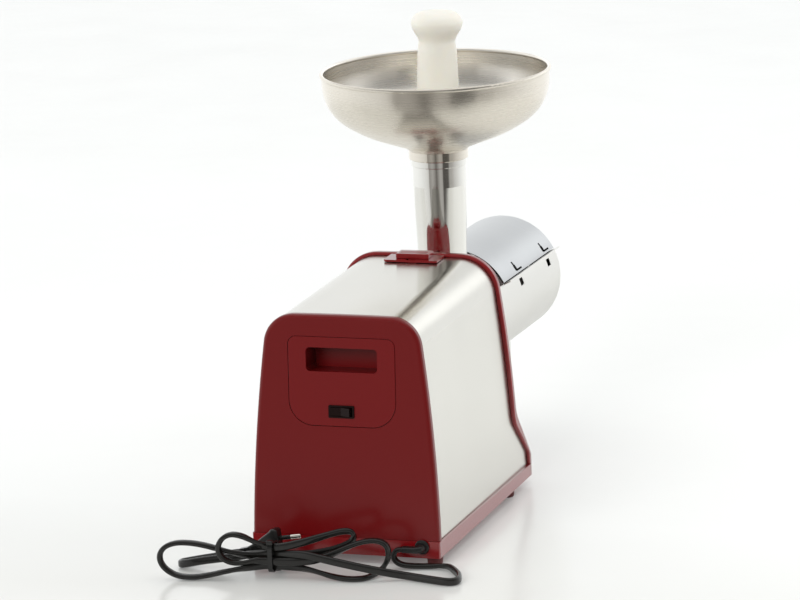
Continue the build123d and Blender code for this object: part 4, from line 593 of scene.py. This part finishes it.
# the floor turns a darker warm grey towards the camera side: painted shade
n.put(b.inputs["Base Color"], n.mix(n.span(psep.outputs[1], 0.10, 0.34, 0, 1), b.inputs["Base Color"].links[0].from_socket, (0.70, 0.70, 0.672)))
far = n.math("MAXIMUM", n.math("GREATER_THAN", dist.outputs["Value"], 1.12), n.span(psep.outputs[1], 0.46, 0.62, 0.0, 1.0))
seen = n.math("SUBTRACT", 1.0, lp.outputs["Is Camera Ray"])
tr = n.new("ShaderNodeBsdfTransparent")
mx = n.new("ShaderNodeMixShader")
n.put(mx.inputs[0], n.math("MULTIPLY", far, seen))
n.put(mx.inputs[1], b.outputs[0])
n.put(mx.inputs[2], tr.outputs[0])
n.put(mt.node_tree.nodes["Material Output"].inputs["Surface"], mx.outputs[0])
me.materials.append(mt)

world = bpy.data.worlds.new("studio")
scene.world = world
world.use_nodes = True
wt = world.node_tree
n = Net(wt)
bg = wt.nodes["Background"]
tc = n.new("ShaderNodeTexCoord")
dot_r = n.new("ShaderNodeVectorMath", operation="DOT_PRODUCT")
n.put(dot_r.inputs[0], tc.outputs["Generated"])
dot_r.inputs[1].default_value = (-0.9451, -0.3269, 0.0)
dot_f = n.new("ShaderNodeVectorMath", operation="DOT_PRODUCT")
n.put(dot_f.inputs[0], tc.outputs["Generated"])
dot_f.inputs[1].default_value = (-0.3269, 0.9451, 0.0)
rel = n.math("ARCTAN2", dot_r.outputs["Value"], dot_f.outputs["Value"])
fac = n.math("ADD", n.math("DIVIDE", rel, 2 * math.pi), 0.5)


def deg(a):
    return a / 360.0 + 0.5


room = n.ramp(fac, [
    (deg(-180), 1.18), (deg(-110), 1.14), (deg(-85), 1.04), (deg(-58), 0.87), (deg(-47), 0.74), (deg(-45), 0.34), (deg(-30), 0.48), (deg(-20), 0.34),
    (deg(-13), 0.16), (deg(-6), 0.32), (deg(2), 0.48), (deg(12), 0.45), (deg(15.5), 0.10), (deg(37), 0.11), (deg(43), 0.42),
    (deg(54), 0.47), (deg(70), 0.70), (deg(95), 0.95), (deg(122), 1.16), (deg(158), 1.18), (deg(180), 1.17)])
sepw = n.new("ShaderNodeSeparateXYZ")
n.put(sepw.inputs[0], tc.outputs["Generated"])
behind = n.span(dot_f.outputs["Value"], -0.25, 0.35, 0.0, 0.30)
high = n.span(n.math("ADD", sepw.outputs[2], n.math("MULTIPLY", behind, 0.5)), 0.42, 0.54, 0.0, 1.0)
glow = n.math("MULTIPLY", n.span(sepw.outputs[2], 0.10, 0.22, 0.0, 1.0), n.math("MULTIPLY", n.span(dot_r.outputs["Value"], 0.38, 0.54, 0.0, 0.36), n.span(dot_f.outputs["Value"], -0.6, -0.3, 1.0, 0.0)))
top = n.mix(n.span(n.math("SUBTRACT", sepw.outputs[2], behind), 0.46, 0.62, 0.0, 1.0), n.mix(n.span(dot_f.outputs["Value"], -0.25, 0.35, 0.0, 1.0), (0.46, 0.475, 0.49), (0.24, 0.243, 0.245)), (1.04, 1.04, 1.03))
warm = n.mix(n.span(room, 0.1, 1.0, 0.0, 1.0), (0.95, 0.90, 0.84), (0.985, 1.0, 1.005))
tint = n.new("ShaderNodeMix", data_type="RGBA", blend_type="MULTIPLY")
tint.inputs["Factor"].default_value = 1.0
n.put(tint.inputs[6], n.math("MULTIPLY", room, n.math("ADD", glow, 1.0)))
n.put(tint.inputs[7], warm)
env = n.mix(high, tint.outputs[2], top)
lpw = n.new("ShaderNodeLightPath")
n.put(bg.inputs["Color"], n.mix(lpw.outputs["Is Camera Ray"], env, (0.915, 0.95, 0.958)))
bg.inputs["Strength"].default_value = 1.0


def area(name, loc, target, size, power, colour=(1, 1, 1), glossy=False):
    ld = bpy.data.lights.new(name, "AREA")
    ld.shape = "RECTANGLE"
    ld.size, ld.size_y = size
    ld.energy = power
    ld.color = colour
    ob = bpy.data.objects.new(name, ld)
    scene.collection.objects.link(ob)
    ob.location = loc
    ob.rotation_mode = "QUATERNION"
    ob.rotation_quaternion = (Vector(target) - Vector(loc)).to_track_quat("-Z", "Y")
    ob.visible_camera = False
    ob.visible_glossy = glossy
    return ob


area("key_top", (0.3, -0.9, 2.4), (0, 0, 0), (2.4, 2.4), 2.5, (1.0, 0.995, 0.98))
area("key_side", (-2.4, -0.5, 1.1), (0, 0.05, 0.12), (1.8, 1.4), 22.0)
area("fill_back", (0.9, 4.2, 2.0), (0, 0.05, 0.2), (2.6, 2.0), 94.0)
